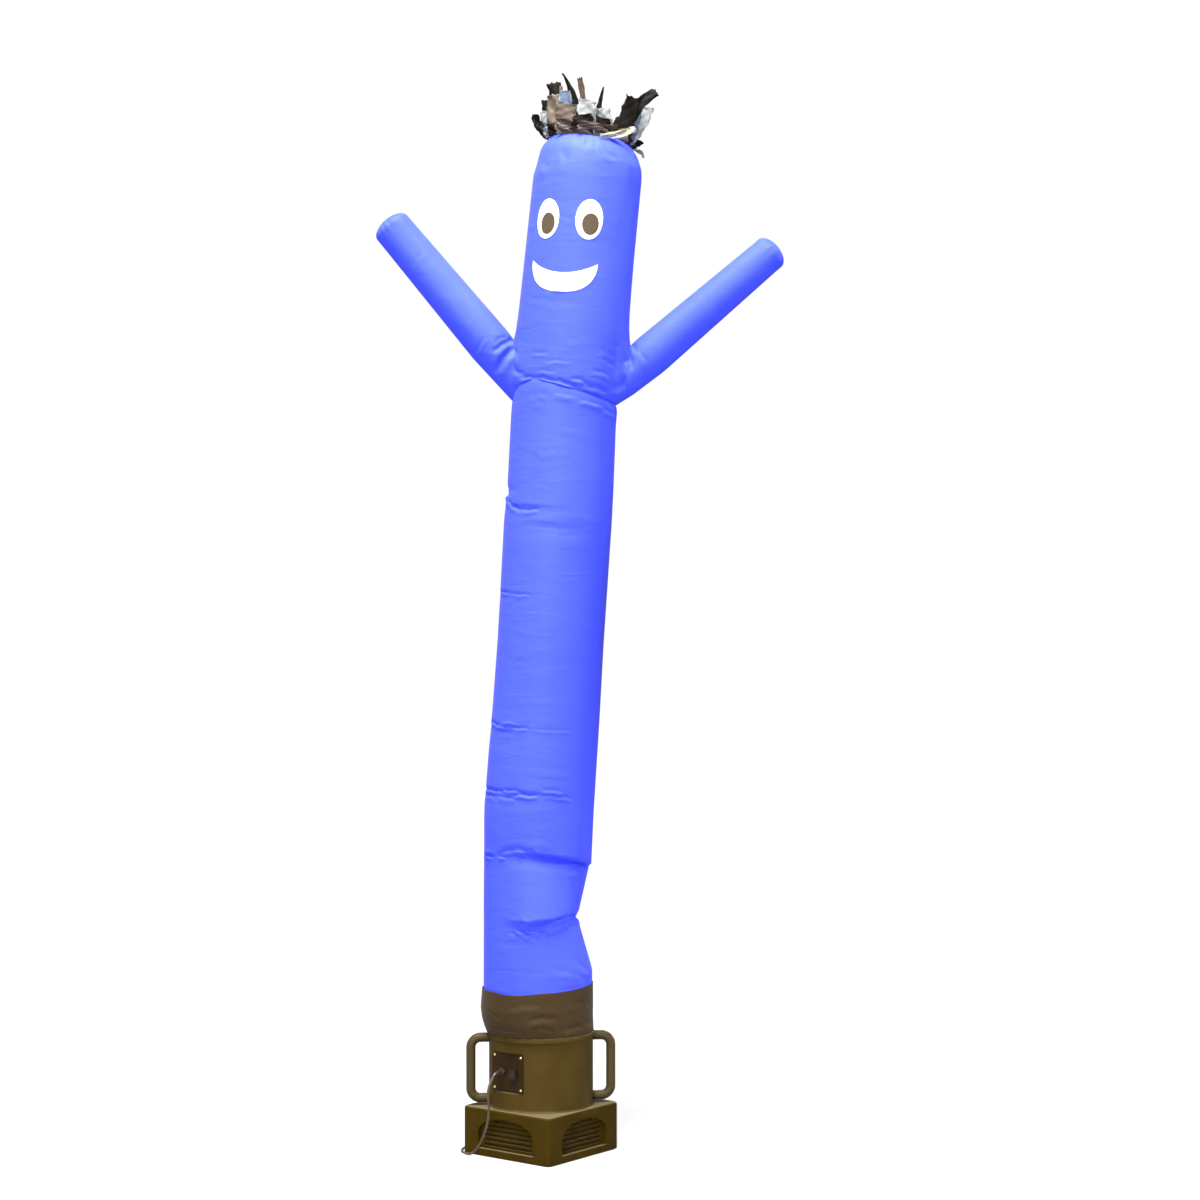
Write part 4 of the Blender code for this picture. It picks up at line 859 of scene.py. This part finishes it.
def head_grid(height, azimuth, out=0.0):
    """The cloth of the chest and head, and its surface moved outwards."""
    height = np.broadcast_to(height, np.broadcast(height, azimuth).shape)
    reach = tube_reach(height, azimuth, CHEST_CREASES) + out
    reach = reach + arm_flare(leaning(height, azimuth, reach, SECTIONS, LEAN_SOFT), height, azimuth)
    pucker = np.clip((height - 2.86) / 0.05, 0, 1)
    reach = reach + 0.0006 * pucker * np.sin(26 * azimuth + 1.5 * np.sin(5 * azimuth))
    return leaning(height, azimuth, reach, SECTIONS, LEAN_SOFT)


chest_grid = head_grid(chest_height, tube_azimuth)
middles = (chest_grid[:-1] + chest_grid[1:]) / 2
middles = (middles + np.roll(middles, -1, axis=1)) / 2
chest_keep = ~(inside_arm(middles, ARMS["left"]) | inside_arm(middles, ARMS["right"]))
chest_skin = skin("chest_and_head", chest_grid, ends=(False, True), keep=chest_keep,
                  flat=unrolled(tube_azimuth, chest_along, TUBE_RADIUS))
upper_tube = walled(add("chest_and_head", chest_skin, blue_nylon, "blue_nylon", "trunk_upper"), CLOTH)

# --- Arms -----------------------------------------------------------------------------------
# Two tapered tubes with blunt closed tips. Each is sewn round its hole in the chest, where the
# cloth is drawn into short creases.
ARM_ROOT = -0.070  # where it starts, inside the chest
ARM_CLOSE = 0.14  # its rows are closer together up to here
ARM_FULL = 0.2  # share of its length where it is fullest
ARM_TIP_LENGTH = 0.030
ARM_RADIUS = 0.06  # of the flat cloth, once rolled
ARM_COLUMNS = 96
ARM_CREASES = {
    "left": table(Crease, "azimuth to_azimuth",
        (-136, 34, -44, 58, 4, 11, 10, 4),
        (-100, 84, 0, 74, 4, 9, 8, 3.4),
        (-84, 100, -30, 94, 3, 3.4, 5, 2.4),
        (-140, 110, -90, 130, 4, 2.4, 5, 2),
        (-110, 190, -60, 200, 3, 1.4, 4.5, 1.2),
        (-120, 420, -60, 430, 3, 1.8, 4, 1.4),
        (60, 50, 130, 60, 4, 4, 5.5, 2.6)),
    "right": table(Crease, "azimuth to_azimuth",
        (-154, 66, -90, 40, 4, 11, 9, 4),
        (-120, 92, -56, 78, 4, 4, 5.5, 2.6),
        (-170, 90, -120, 82, 3, 4, 5, 2.6),
        (-120, 150, -80, 142, 3, 1.6, 4.5, 1.2),
        (-130, 330, -70, 322, 3, 1.8, 4.5, 1.4),
        (50, 50, 120, 60, 4, 4, 5.5, 2.6)),
}


def arm_grid(arm, creases):
    """Rings of an arm about its middle line. Its radius goes straight from the root to its
    fullest and on to the tip, with creases, and its end is a quarter of an ellipse."""
    start, ahead, length = arm_axis(arm)
    body = length - ARM_TIP_LENGTH
    root = np.linspace(ARM_ROOT, 0.0, 12, endpoint=False)
    close = np.linspace(0.0, ARM_CLOSE, 36, endpoint=False)
    rest = np.linspace(ARM_CLOSE, body, 62)
    tip = np.sin(np.linspace(0, math.pi / 2, 12)[1:-1])
    distance = np.concatenate([root, close, rest, body + tip * ARM_TIP_LENGTH])[:, None]
    widths = (arm.root_radius * arm.pinch, arm.root_radius, arm.full_radius, arm.tip_radius)
    radius = softened(distance / body, (ARM_ROOT / body, 0.0, ARM_FULL, 1.0), widths, 0.02)
    radius = radius * np.sqrt(np.clip(1 - ((distance - body) / ARM_TIP_LENGTH).clip(0, 1) ** 2, 0, 1))
    around = circle(ARM_COLUMNS)
    pucker = np.clip((distance - body + 0.02) / 0.04, 0, 1) * np.clip(radius / 0.05, 0, 1)
    radius = radius + 0.0012 * pucker * np.sin(14 * around + 2 * np.sin(3 * around))
    radius = radius + crease_relief(around, distance, creases, ARM_RADIUS)
    away = (-np.cross(ahead, (0.0, 1.0, 0.0)) * np.cos(around)[:, None]
            + np.array([0.0, 1.0, 0.0]) * np.sin(around)[:, None])
    rings = (start + ahead * distance)[:, None, :] + radius[..., None] * away
    return rings, unrolled(around, np.broadcast_to(distance, radius.shape), ARM_RADIUS)


for side, arm in ARMS.items():
    rings, flat = arm_grid(arm, ARM_CREASES[side])
    sleeve = add("sleeve_" + side, skin("sleeve_" + side, rings, ends=(False, True), flat=flat),
                 blue_nylon, "blue_nylon", "arm_" + side)
    walled(sleeve, CLOTH)

# --- Face -----------------------------------------------------------------------------------
# Oval white eyes, oval brown pupils and a white crescent mouth. They are cut from nylon and sewn
# flat on the head, the pupils over the eyes.
Eye = namedtuple("Eye", "azimuth height")
EYES = {"left": Eye(-39.0, 2.6745), "right": Eye(7.5, 2.6790)}
EYE_SIZE = (0.080, 0.114)
PUPIL_DROP = 0.0125
PUPIL_TURN = 1.5
PUPIL_SIZE = (0.049, 0.062)
FACE_RADIUS = 0.160
PATCH = 0.0009
PATCH_LIFT = 0.0004  # of an eye or the mouth off the cloth
PUPIL_LIFT = 0.0016  # of a pupil off the cloth, which clears its eye
MOUTH_AZIMUTH = -16.5
MOUTH_HALF = 37.5  # degrees from its middle to a tip
MOUTH_TIPS = 2.556
MOUTH_TOP_SAG = 0.033
MOUTH_BOTTOM_SAG = 0.087
MOUTH_POINTS = (17, 81)  # rows and columns


def oval_grid(size, points=27):
    """A square grid pressed into an oval: each coordinate times the root of 1 less half the
    square of the other."""
    up, across = np.meshgrid(*[np.linspace(-1, 1, points)] * 2, indexing="ij")
    x = across * np.sqrt(1 - up**2 / 2)
    z = up * np.sqrt(1 - across**2 / 2)
    return x * size[0] / 2, z * size[1] / 2


def sewn_patch(name, azimuth, height, lift, material, slot, node):
    """A patch whose inner side lies a little off the cloth, at the given azimuths and heights."""
    azimuth = np.radians(azimuth)
    grid = head_grid(height, azimuth, lift + PATCH)
    cut = skin(name, grid, loop=False, flat=unrolled(azimuth, height, FACE_RADIUS))
    return walled(add(name, cut, material, slot, node), PATCH)


white_cloth = nylon("white_cloth", (0.86, 0.86, 0.88), (0.90, 0.90, 0.90), crinkle=0.0012)
pupil_cloth = nylon("pupil_cloth", (0.058, 0.041, 0.026), (0.068, 0.049, 0.032), crinkle=0.0012)
for side, eye in EYES.items():
    across, up = oval_grid(EYE_SIZE)
    sewn_patch(
        "eye_white_" + side, eye.azimuth + np.degrees(across / FACE_RADIUS), eye.height + up,
        PATCH_LIFT, white_cloth, "white_patch", "eye_" + side)
    across, up = oval_grid(PUPIL_SIZE)
    sewn_patch(
        "eye_pupil_" + side, eye.azimuth + PUPIL_TURN + np.degrees(across / FACE_RADIUS),
        eye.height - PUPIL_DROP + up, PUPIL_LIFT, pupil_cloth, "pupil_patch", "pupil_" + side)
smile = np.sin(np.linspace(-1, 1, MOUTH_POINTS[1]) * math.radians(86))[None, :]
smile_top = MOUTH_TIPS - MOUTH_TOP_SAG * (1 - smile**2)
smile_bottom = MOUTH_TIPS - MOUTH_BOTTOM_SAG * np.sqrt(1 - np.abs(smile) ** 2.6)
smile_rise = np.linspace(0, 1, MOUTH_POINTS[0])[:, None]
sewn_patch(
    "smile", MOUTH_AZIMUTH + MOUTH_HALF * smile + 0 * smile_rise,
    smile_bottom + smile_rise * (smile_top - smile_bottom), PATCH_LIFT, white_cloth, "white_patch",
    "mouth")

# --- Hair -----------------------------------------------------------------------------------
# Strips of thin metallised film, dark, tan or silvered, that stand crumpled in the air stream.
# Their roots overlap and are caught in a narrow band sewn round the crown.
HAIR_HEIGHT = 2.9250
HAIR_RADIUS = 0.1090
HAIR_CENTRE = 0.1400
HAIR_BAND = 0.016
BAND_INSET = 0.003
BAND_GATHER = 0.0016
HAIR_FOIL = 0.0006
Strip = namedtuple("Strip", "azimuth inset lean_x lean_y rise bow width tip facing film")
STRIPS = table(Strip, "azimuth facing film",
    (-68, 0, -4, -6, 120, 4, 48, 40, -20, "tan"),
    (-72, 12, -12, 0, 160, 6, 46, 38, -10, "black"),
    (-36, 0, 2, -8, 90, -2, 66, 58, 5, "tan"),
    (-37, 4, -4, -4, 128, -3, 44, 34, 0, "blue"),
    (-30, 9, -27, -2, 176, 21, 56, 4, 0, "black"),
    (-56, 10, 0, 2, 148, 2, 16, 10, 10, "tan"),
    (-4, 12, -22, 0, 168, 3, 20, 16, 8, "brown"),
    (0, 6, -4, -2, 104, -4, 64, 50, 0, "pale"),
    (22, 8, 2, -2, 86, 4, 56, 36, 0, "pale"),
    (10, 16, 26, 4, 150, -3, 36, 2, 0, "black"),
    (-12, -2, 4, -6, 58, 4, 70, 56, -4, "black"),
    (-32, -3, -2, -8, 42, 0, 74, 60, -14, "brown"),
    (0, -4, 2, -8, 38, 0, 76, 60, 4, "brown"),
    (22, -1, -1, -6, 56, -3, 52, 44, 8, "black"),
    (28, -5, 0, -8, 36, 0, 66, 54, 10, "brown"),
    (7, -3, -1, -6, 64, 2, 9, 6, 30, "pale"),
    (36, -3, 0, -6, 58, -2, 9, 6, 30, "pale"),
    (56, 2, 40, -6, 132, 0, 54, 44, 14, "black"),
    (60, 4, 104, 4, 150, -30, 70, 24, 4, "black"),
    (52, -3, -2, -6, 34, 2, 52, 44, 16, "brown"),
    (76, -2, 28, -12, 104, 2, 42, 38, 0, "blue"),
    (86, -2, 58, -10, 112, 10, 24, 38, 4, "silver"),
    (18, -16, 94, 40, 34, 4, 12, 20, 26, "cream"),
    (14, -18, 80, 30, 8, 2, 10, 14, 26, "pale"),
    (78, -10, 12, -6, -8, 2, 22, 14, 30, "black"),
    (92, -12, 30, -4, 14, 4, 20, 18, 20, "black"),
    (96, -16, 34, 0, -34, 8, 14, 10, 30, "pale"),
    (-86, 6, -26, -4, 112, -6, 22, 20, -6, "black"),
    (-84, -4, -14, -10, 78, -4, 34, 28, -10, "pale"),
    (-80, -6, -42, -8, 66, -12, 26, 22, -6, "black"),
    (-78, -8, -12, -6, 26, 0, 26, 22, -20, "pale"),
    (-60, -5, -8, -8, 34, 0, 40, 34, -24, "black"),
    (-112, 0, -14, 12, 120, 6, 46, 36, -100, "tan"),
    (-132, 4, -10, 16, 94, -6, 50, 40, -130, "black"),
    (-152, 0, 2, 14, 102, 6, 50, 36, -160, "pale"),
    (-170, 2, -8, 12, 90, -6, 48, 40, 175, "tan"),
    (172, 6, 6, 10, 96, 4, 50, 36, 170, "black"),
    (154, 0, 10, 18, 86, 8, 48, 40, 150, "blue"),
    (134, 4, 14, 16, 106, -6, 50, 34, 130, "black"),
    (114, 2, 20, 8, 94, 6, 48, 36, 105, "tan"),
    (-122, -4, -6, 8, 46, 0, 70, 56, -120, "brown"),
    (-156, -4, 0, 10, 42, 0, 74, 60, -160, "brown"),
    (168, -4, 4, 10, 44, 0, 74, 60, 168, "brown"),
    (130, -4, 8, 8, 40, 0, 74, 60, 130, "brown"),
    (98, -4, 8, 2, 40, 0, 60, 50, 98, "brown"),
    (-98, -4, -8, 2, 40, 0, 60, 50, -98, "brown"))
Film = namedtuple("Film", "colour second roughness gloss")
FILMS = {
    "black": Film((0.004, 0.0035, 0.003), (0.009, 0.007, 0.005), 0.55, 0.05),
    "brown": Film((0.030, 0.018, 0.011), (0.058, 0.038, 0.027), 0.46, 0.25),
    "tan": Film((0.070, 0.050, 0.034), (0.095, 0.073, 0.055), 0.46, 0.3),
    "blue": Film((0.055, 0.080, 0.135), (0.090, 0.115, 0.165), 0.42, 0.4),
    "pale": Film((0.125, 0.132, 0.128), (0.200, 0.204, 0.205), 0.42, 0.4),
    "silver": Film((0.240, 0.250, 0.250), (0.320, 0.330, 0.335), 0.42, 0.4),
    "cream": Film((0.250, 0.230, 0.155), (0.300, 0.290, 0.225), 0.45, 0.3),
}
STRIP_ROWS = 30
STRIP_COLUMNS = 9


def strip_grid(strip, number):
    """A ribbon from its root on the crown to its tip. Its middle is a straight lean plus a bow of
    4s(1-s) sideways, and its breadth lies square to that line and to the way it faces, with
    crumples of the film as sums of sines and of folded sines."""
    share = np.linspace(0, 1, STRIP_ROWS)[:, None]
    place = np.linspace(-0.5, 0.5, STRIP_COLUMNS)
    turn, facing = math.radians(strip.azimuth), math.radians(strip.facing)
    face = np.array([math.sin(facing), -math.cos(facing), 0.0])
    side = np.array([math.cos(facing), math.sin(facing), 0.0])
    root = (HAIR_RADIUS - strip.inset) * np.array([math.sin(turn), -math.cos(turn), 0.0])
    lean = np.array([strip.lean_x, strip.lean_y, strip.rise])
    middle = root + share * lean + side * strip.bow * 4 * share * (1 - share)
    ahead = np.gradient(middle, axis=0)
    broad = np.cross(ahead, face)
    broad = broad / np.linalg.norm(broad, axis=1, keepdims=True)
    width = strip.width + (strip.tip - strip.width) * share
    width = width * (1 + 0.09 * np.sin(19 * share + 1.9 * number) + 0.05 * np.sin(41 * share + number))
    loose = np.clip(share * 3, 0, 1)
    wave = 0.0030 * np.sin(8 * share + 5 * place + 1.7 * number)
    wave = wave + 0.0018 * np.abs(np.sin(13 * share - 5 * place + 0.9 * number))
    wave = wave + 0.0006 * np.sin(29 * share + 9 * place + 2.9 * number)
    notch = 0.05 * np.abs(np.sin(9 * place + number)) * (share > 0.97) * strip.rise
    return (middle[:, None, :] + broad[:, None, :] * (place * width)[..., None]
            + face * (loose * wave)[..., None] - np.array([0, 0, 1.0]) * notch[..., None])


def on_crown(points):
    """Points of the hair's own frame, set on the crown, which slopes down to the right."""
    lean = math.radians(SECTIONS[-1].lean)
    drop = HAIR_RADIUS * np.sin(lean) * np.clip(points[..., 0] / HAIR_RADIUS, -1, 1)
    return np.stack([HAIR_CENTRE + points[..., 0], points[..., 1], HAIR_HEIGHT + points[..., 2] - drop],
                    axis=-1)


band_turn, band_rise = np.meshgrid(np.linspace(0, 2 * math.pi, 121), np.linspace(-0.3, 1, 5))
band_reach = HAIR_RADIUS - BAND_INSET + BAND_GATHER * np.sin(31 * band_turn + 2 * np.sin(5 * band_turn))
band_level = HAIR_BAND * band_rise * (1 + 0.25 * np.sin(17 * band_turn + 1.2) * (band_rise > 0.9))
band_grid = np.stack([band_reach * np.sin(band_turn), -band_reach * np.cos(band_turn), band_level],
                     axis=-1)
hair_grids = [(strip_grid(strip, number), strip.film) for number, strip in enumerate(STRIPS)]
hair_points, hair_faces, hair_films, first = [], [], [], 0
for grid, film in [*hair_grids, (band_grid, "brown")]:
    count = grid.shape[0] * grid.shape[1]
    quads = quads_of(first + np.arange(count).reshape(grid.shape[:2])).reshape(-1, 4)
    hair_points.append(on_crown(grid).reshape(-1, 3))
    hair_faces.append(quads)
    hair_films.append(np.full(len(quads), list(FILMS).index(film)))
    first += count
hair_mesh = bpy.data.meshes.new("film_hair")
hair_mesh.from_pydata(np.concatenate(hair_points).tolist(), [], np.concatenate(hair_faces).tolist())
hair_mesh.shade_smooth()
films = [finish("film_" + name, film.colour, film.second, film.roughness, 40, 0.0001, gloss=film.gloss)
         for name, film in FILMS.items()]
hair = walled(add("film_hair", hair_mesh, films[0], "hair_film", "hair_strips"), HAIR_FOIL)
for film in films[1:]:
    hair_mesh.materials.append(film)
hair_mesh.polygons.foreach_set("material_index", np.concatenate(hair_films))

# --- Studio ---------------------------------------------------------------------------------
# A pale round floor that melts into a white surround, a large soft light overhead, a weaker broad
# one low at the front left, and two faint narrow ones from the right, on the head and the blower.
FLOOR_RADIUS = 3.4
FLOOR_FADE = 1.7  # where it starts to melt away
FLOOR_PAINT = (0.60, 0.60, 0.60, 1.0)
FLOOR_COVER = 0.36
SURROUND = (1.0, 1.0, 1.0, 1.0)
SURROUND_SEEN = 1.05
SURROUND_LIGHT = 0.36


def soft_light(name, place, aim, size, power, spread=180, shine=True):
    """A round area light at a place, turned to its aim, which fans out by the spread in degrees.
    Without shine it makes no highlights."""
    data = bpy.data.lights.new(name, "AREA")
    data.shape = "DISK"
    data.size = size
    data.energy = power
    data.spread = math.radians(spread)
    light = bpy.data.objects.new(name, data)
    light.location = place
    ahead = np.array(aim, float) - np.array(place, float)
    flat = math.hypot(ahead[0], ahead[1])
    light.rotation_euler = (math.atan2(flat, -ahead[2]), 0.0, math.atan2(-ahead[0], ahead[1]))
    light.visible_glossy = shine
    scene.collection.objects.link(light)


def melting_floor():
    """A thin pale matt glaze, which turns clear with the distance from the middle of the floor."""
    material, tree, shader = blank("floor_paint")
    place = wired(tree, "TexCoord", {}).outputs["Object"]
    away = wired(tree, "VectorMath", {0: place}, operation="LENGTH")
    fade = wired(tree, "MapRange", {
        "Value": away, "From Min": FLOOR_FADE, "From Max": FLOOR_RADIUS, "To Min": FLOOR_COVER,
        "To Max": 0.0}, interpolation_type="SMOOTHSTEP")
    feed(shader, {"Base Color": FLOOR_PAINT, "Roughness": 0.9, "Specular IOR Level": 0.0,
                  "Alpha": fade})
    return material


floor_edge = circle(96, 0)
floor_grid = FLOOR_RADIUS * np.stack([np.cos(floor_edge), np.sin(floor_edge), 0 * floor_edge], axis=1)
floor_mesh = bpy.data.meshes.new("studio_floor")
floor_mesh.from_pydata(floor_grid.tolist(), [], [list(range(len(floor_edge)))])
floor_mesh.materials.append(melting_floor())
floor = bpy.data.objects.new("studio_floor", floor_mesh)
scene.collection.objects.link(floor)
world = bpy.data.worlds.new("white_surround")
world.use_nodes = True
sky = world.node_tree
lit = sky.nodes["Background"]
feed(lit, {"Color": SURROUND, "Strength": SURROUND_LIGHT})
seen = wired(sky, "Background", {"Color": SURROUND, "Strength": SURROUND_SEEN})
ray = wired(sky, "LightPath", {}).outputs["Is Camera Ray"]
either = wired(sky, "MixShader", {0: ray, 1: lit, 2: seen})
feed(sky.nodes["World Output"], {"Surface": either})
scene.world = world
soft_light("overhead_light", (-0.55, -2.1, 7.5), (0.05, 0.0, 1.3), 3.2, 1680.0)
soft_light("front_light", (-1.3, -5.4, 2.2), (0.0, 0.0, 1.6), 2.6, 290.0)
soft_light("head_light", (7.4, -4.6, 7.4), (0.1, 0.0, 2.50), 1.2, 3.6, spread=9, shine=False)
soft_light("blower_light", (7.4, -4.6, 5.0), (0.0, 0.0, 0.46), 1.0, 2.5, spread=9, shine=False)
scene.view_settings.view_transform = "Standard"
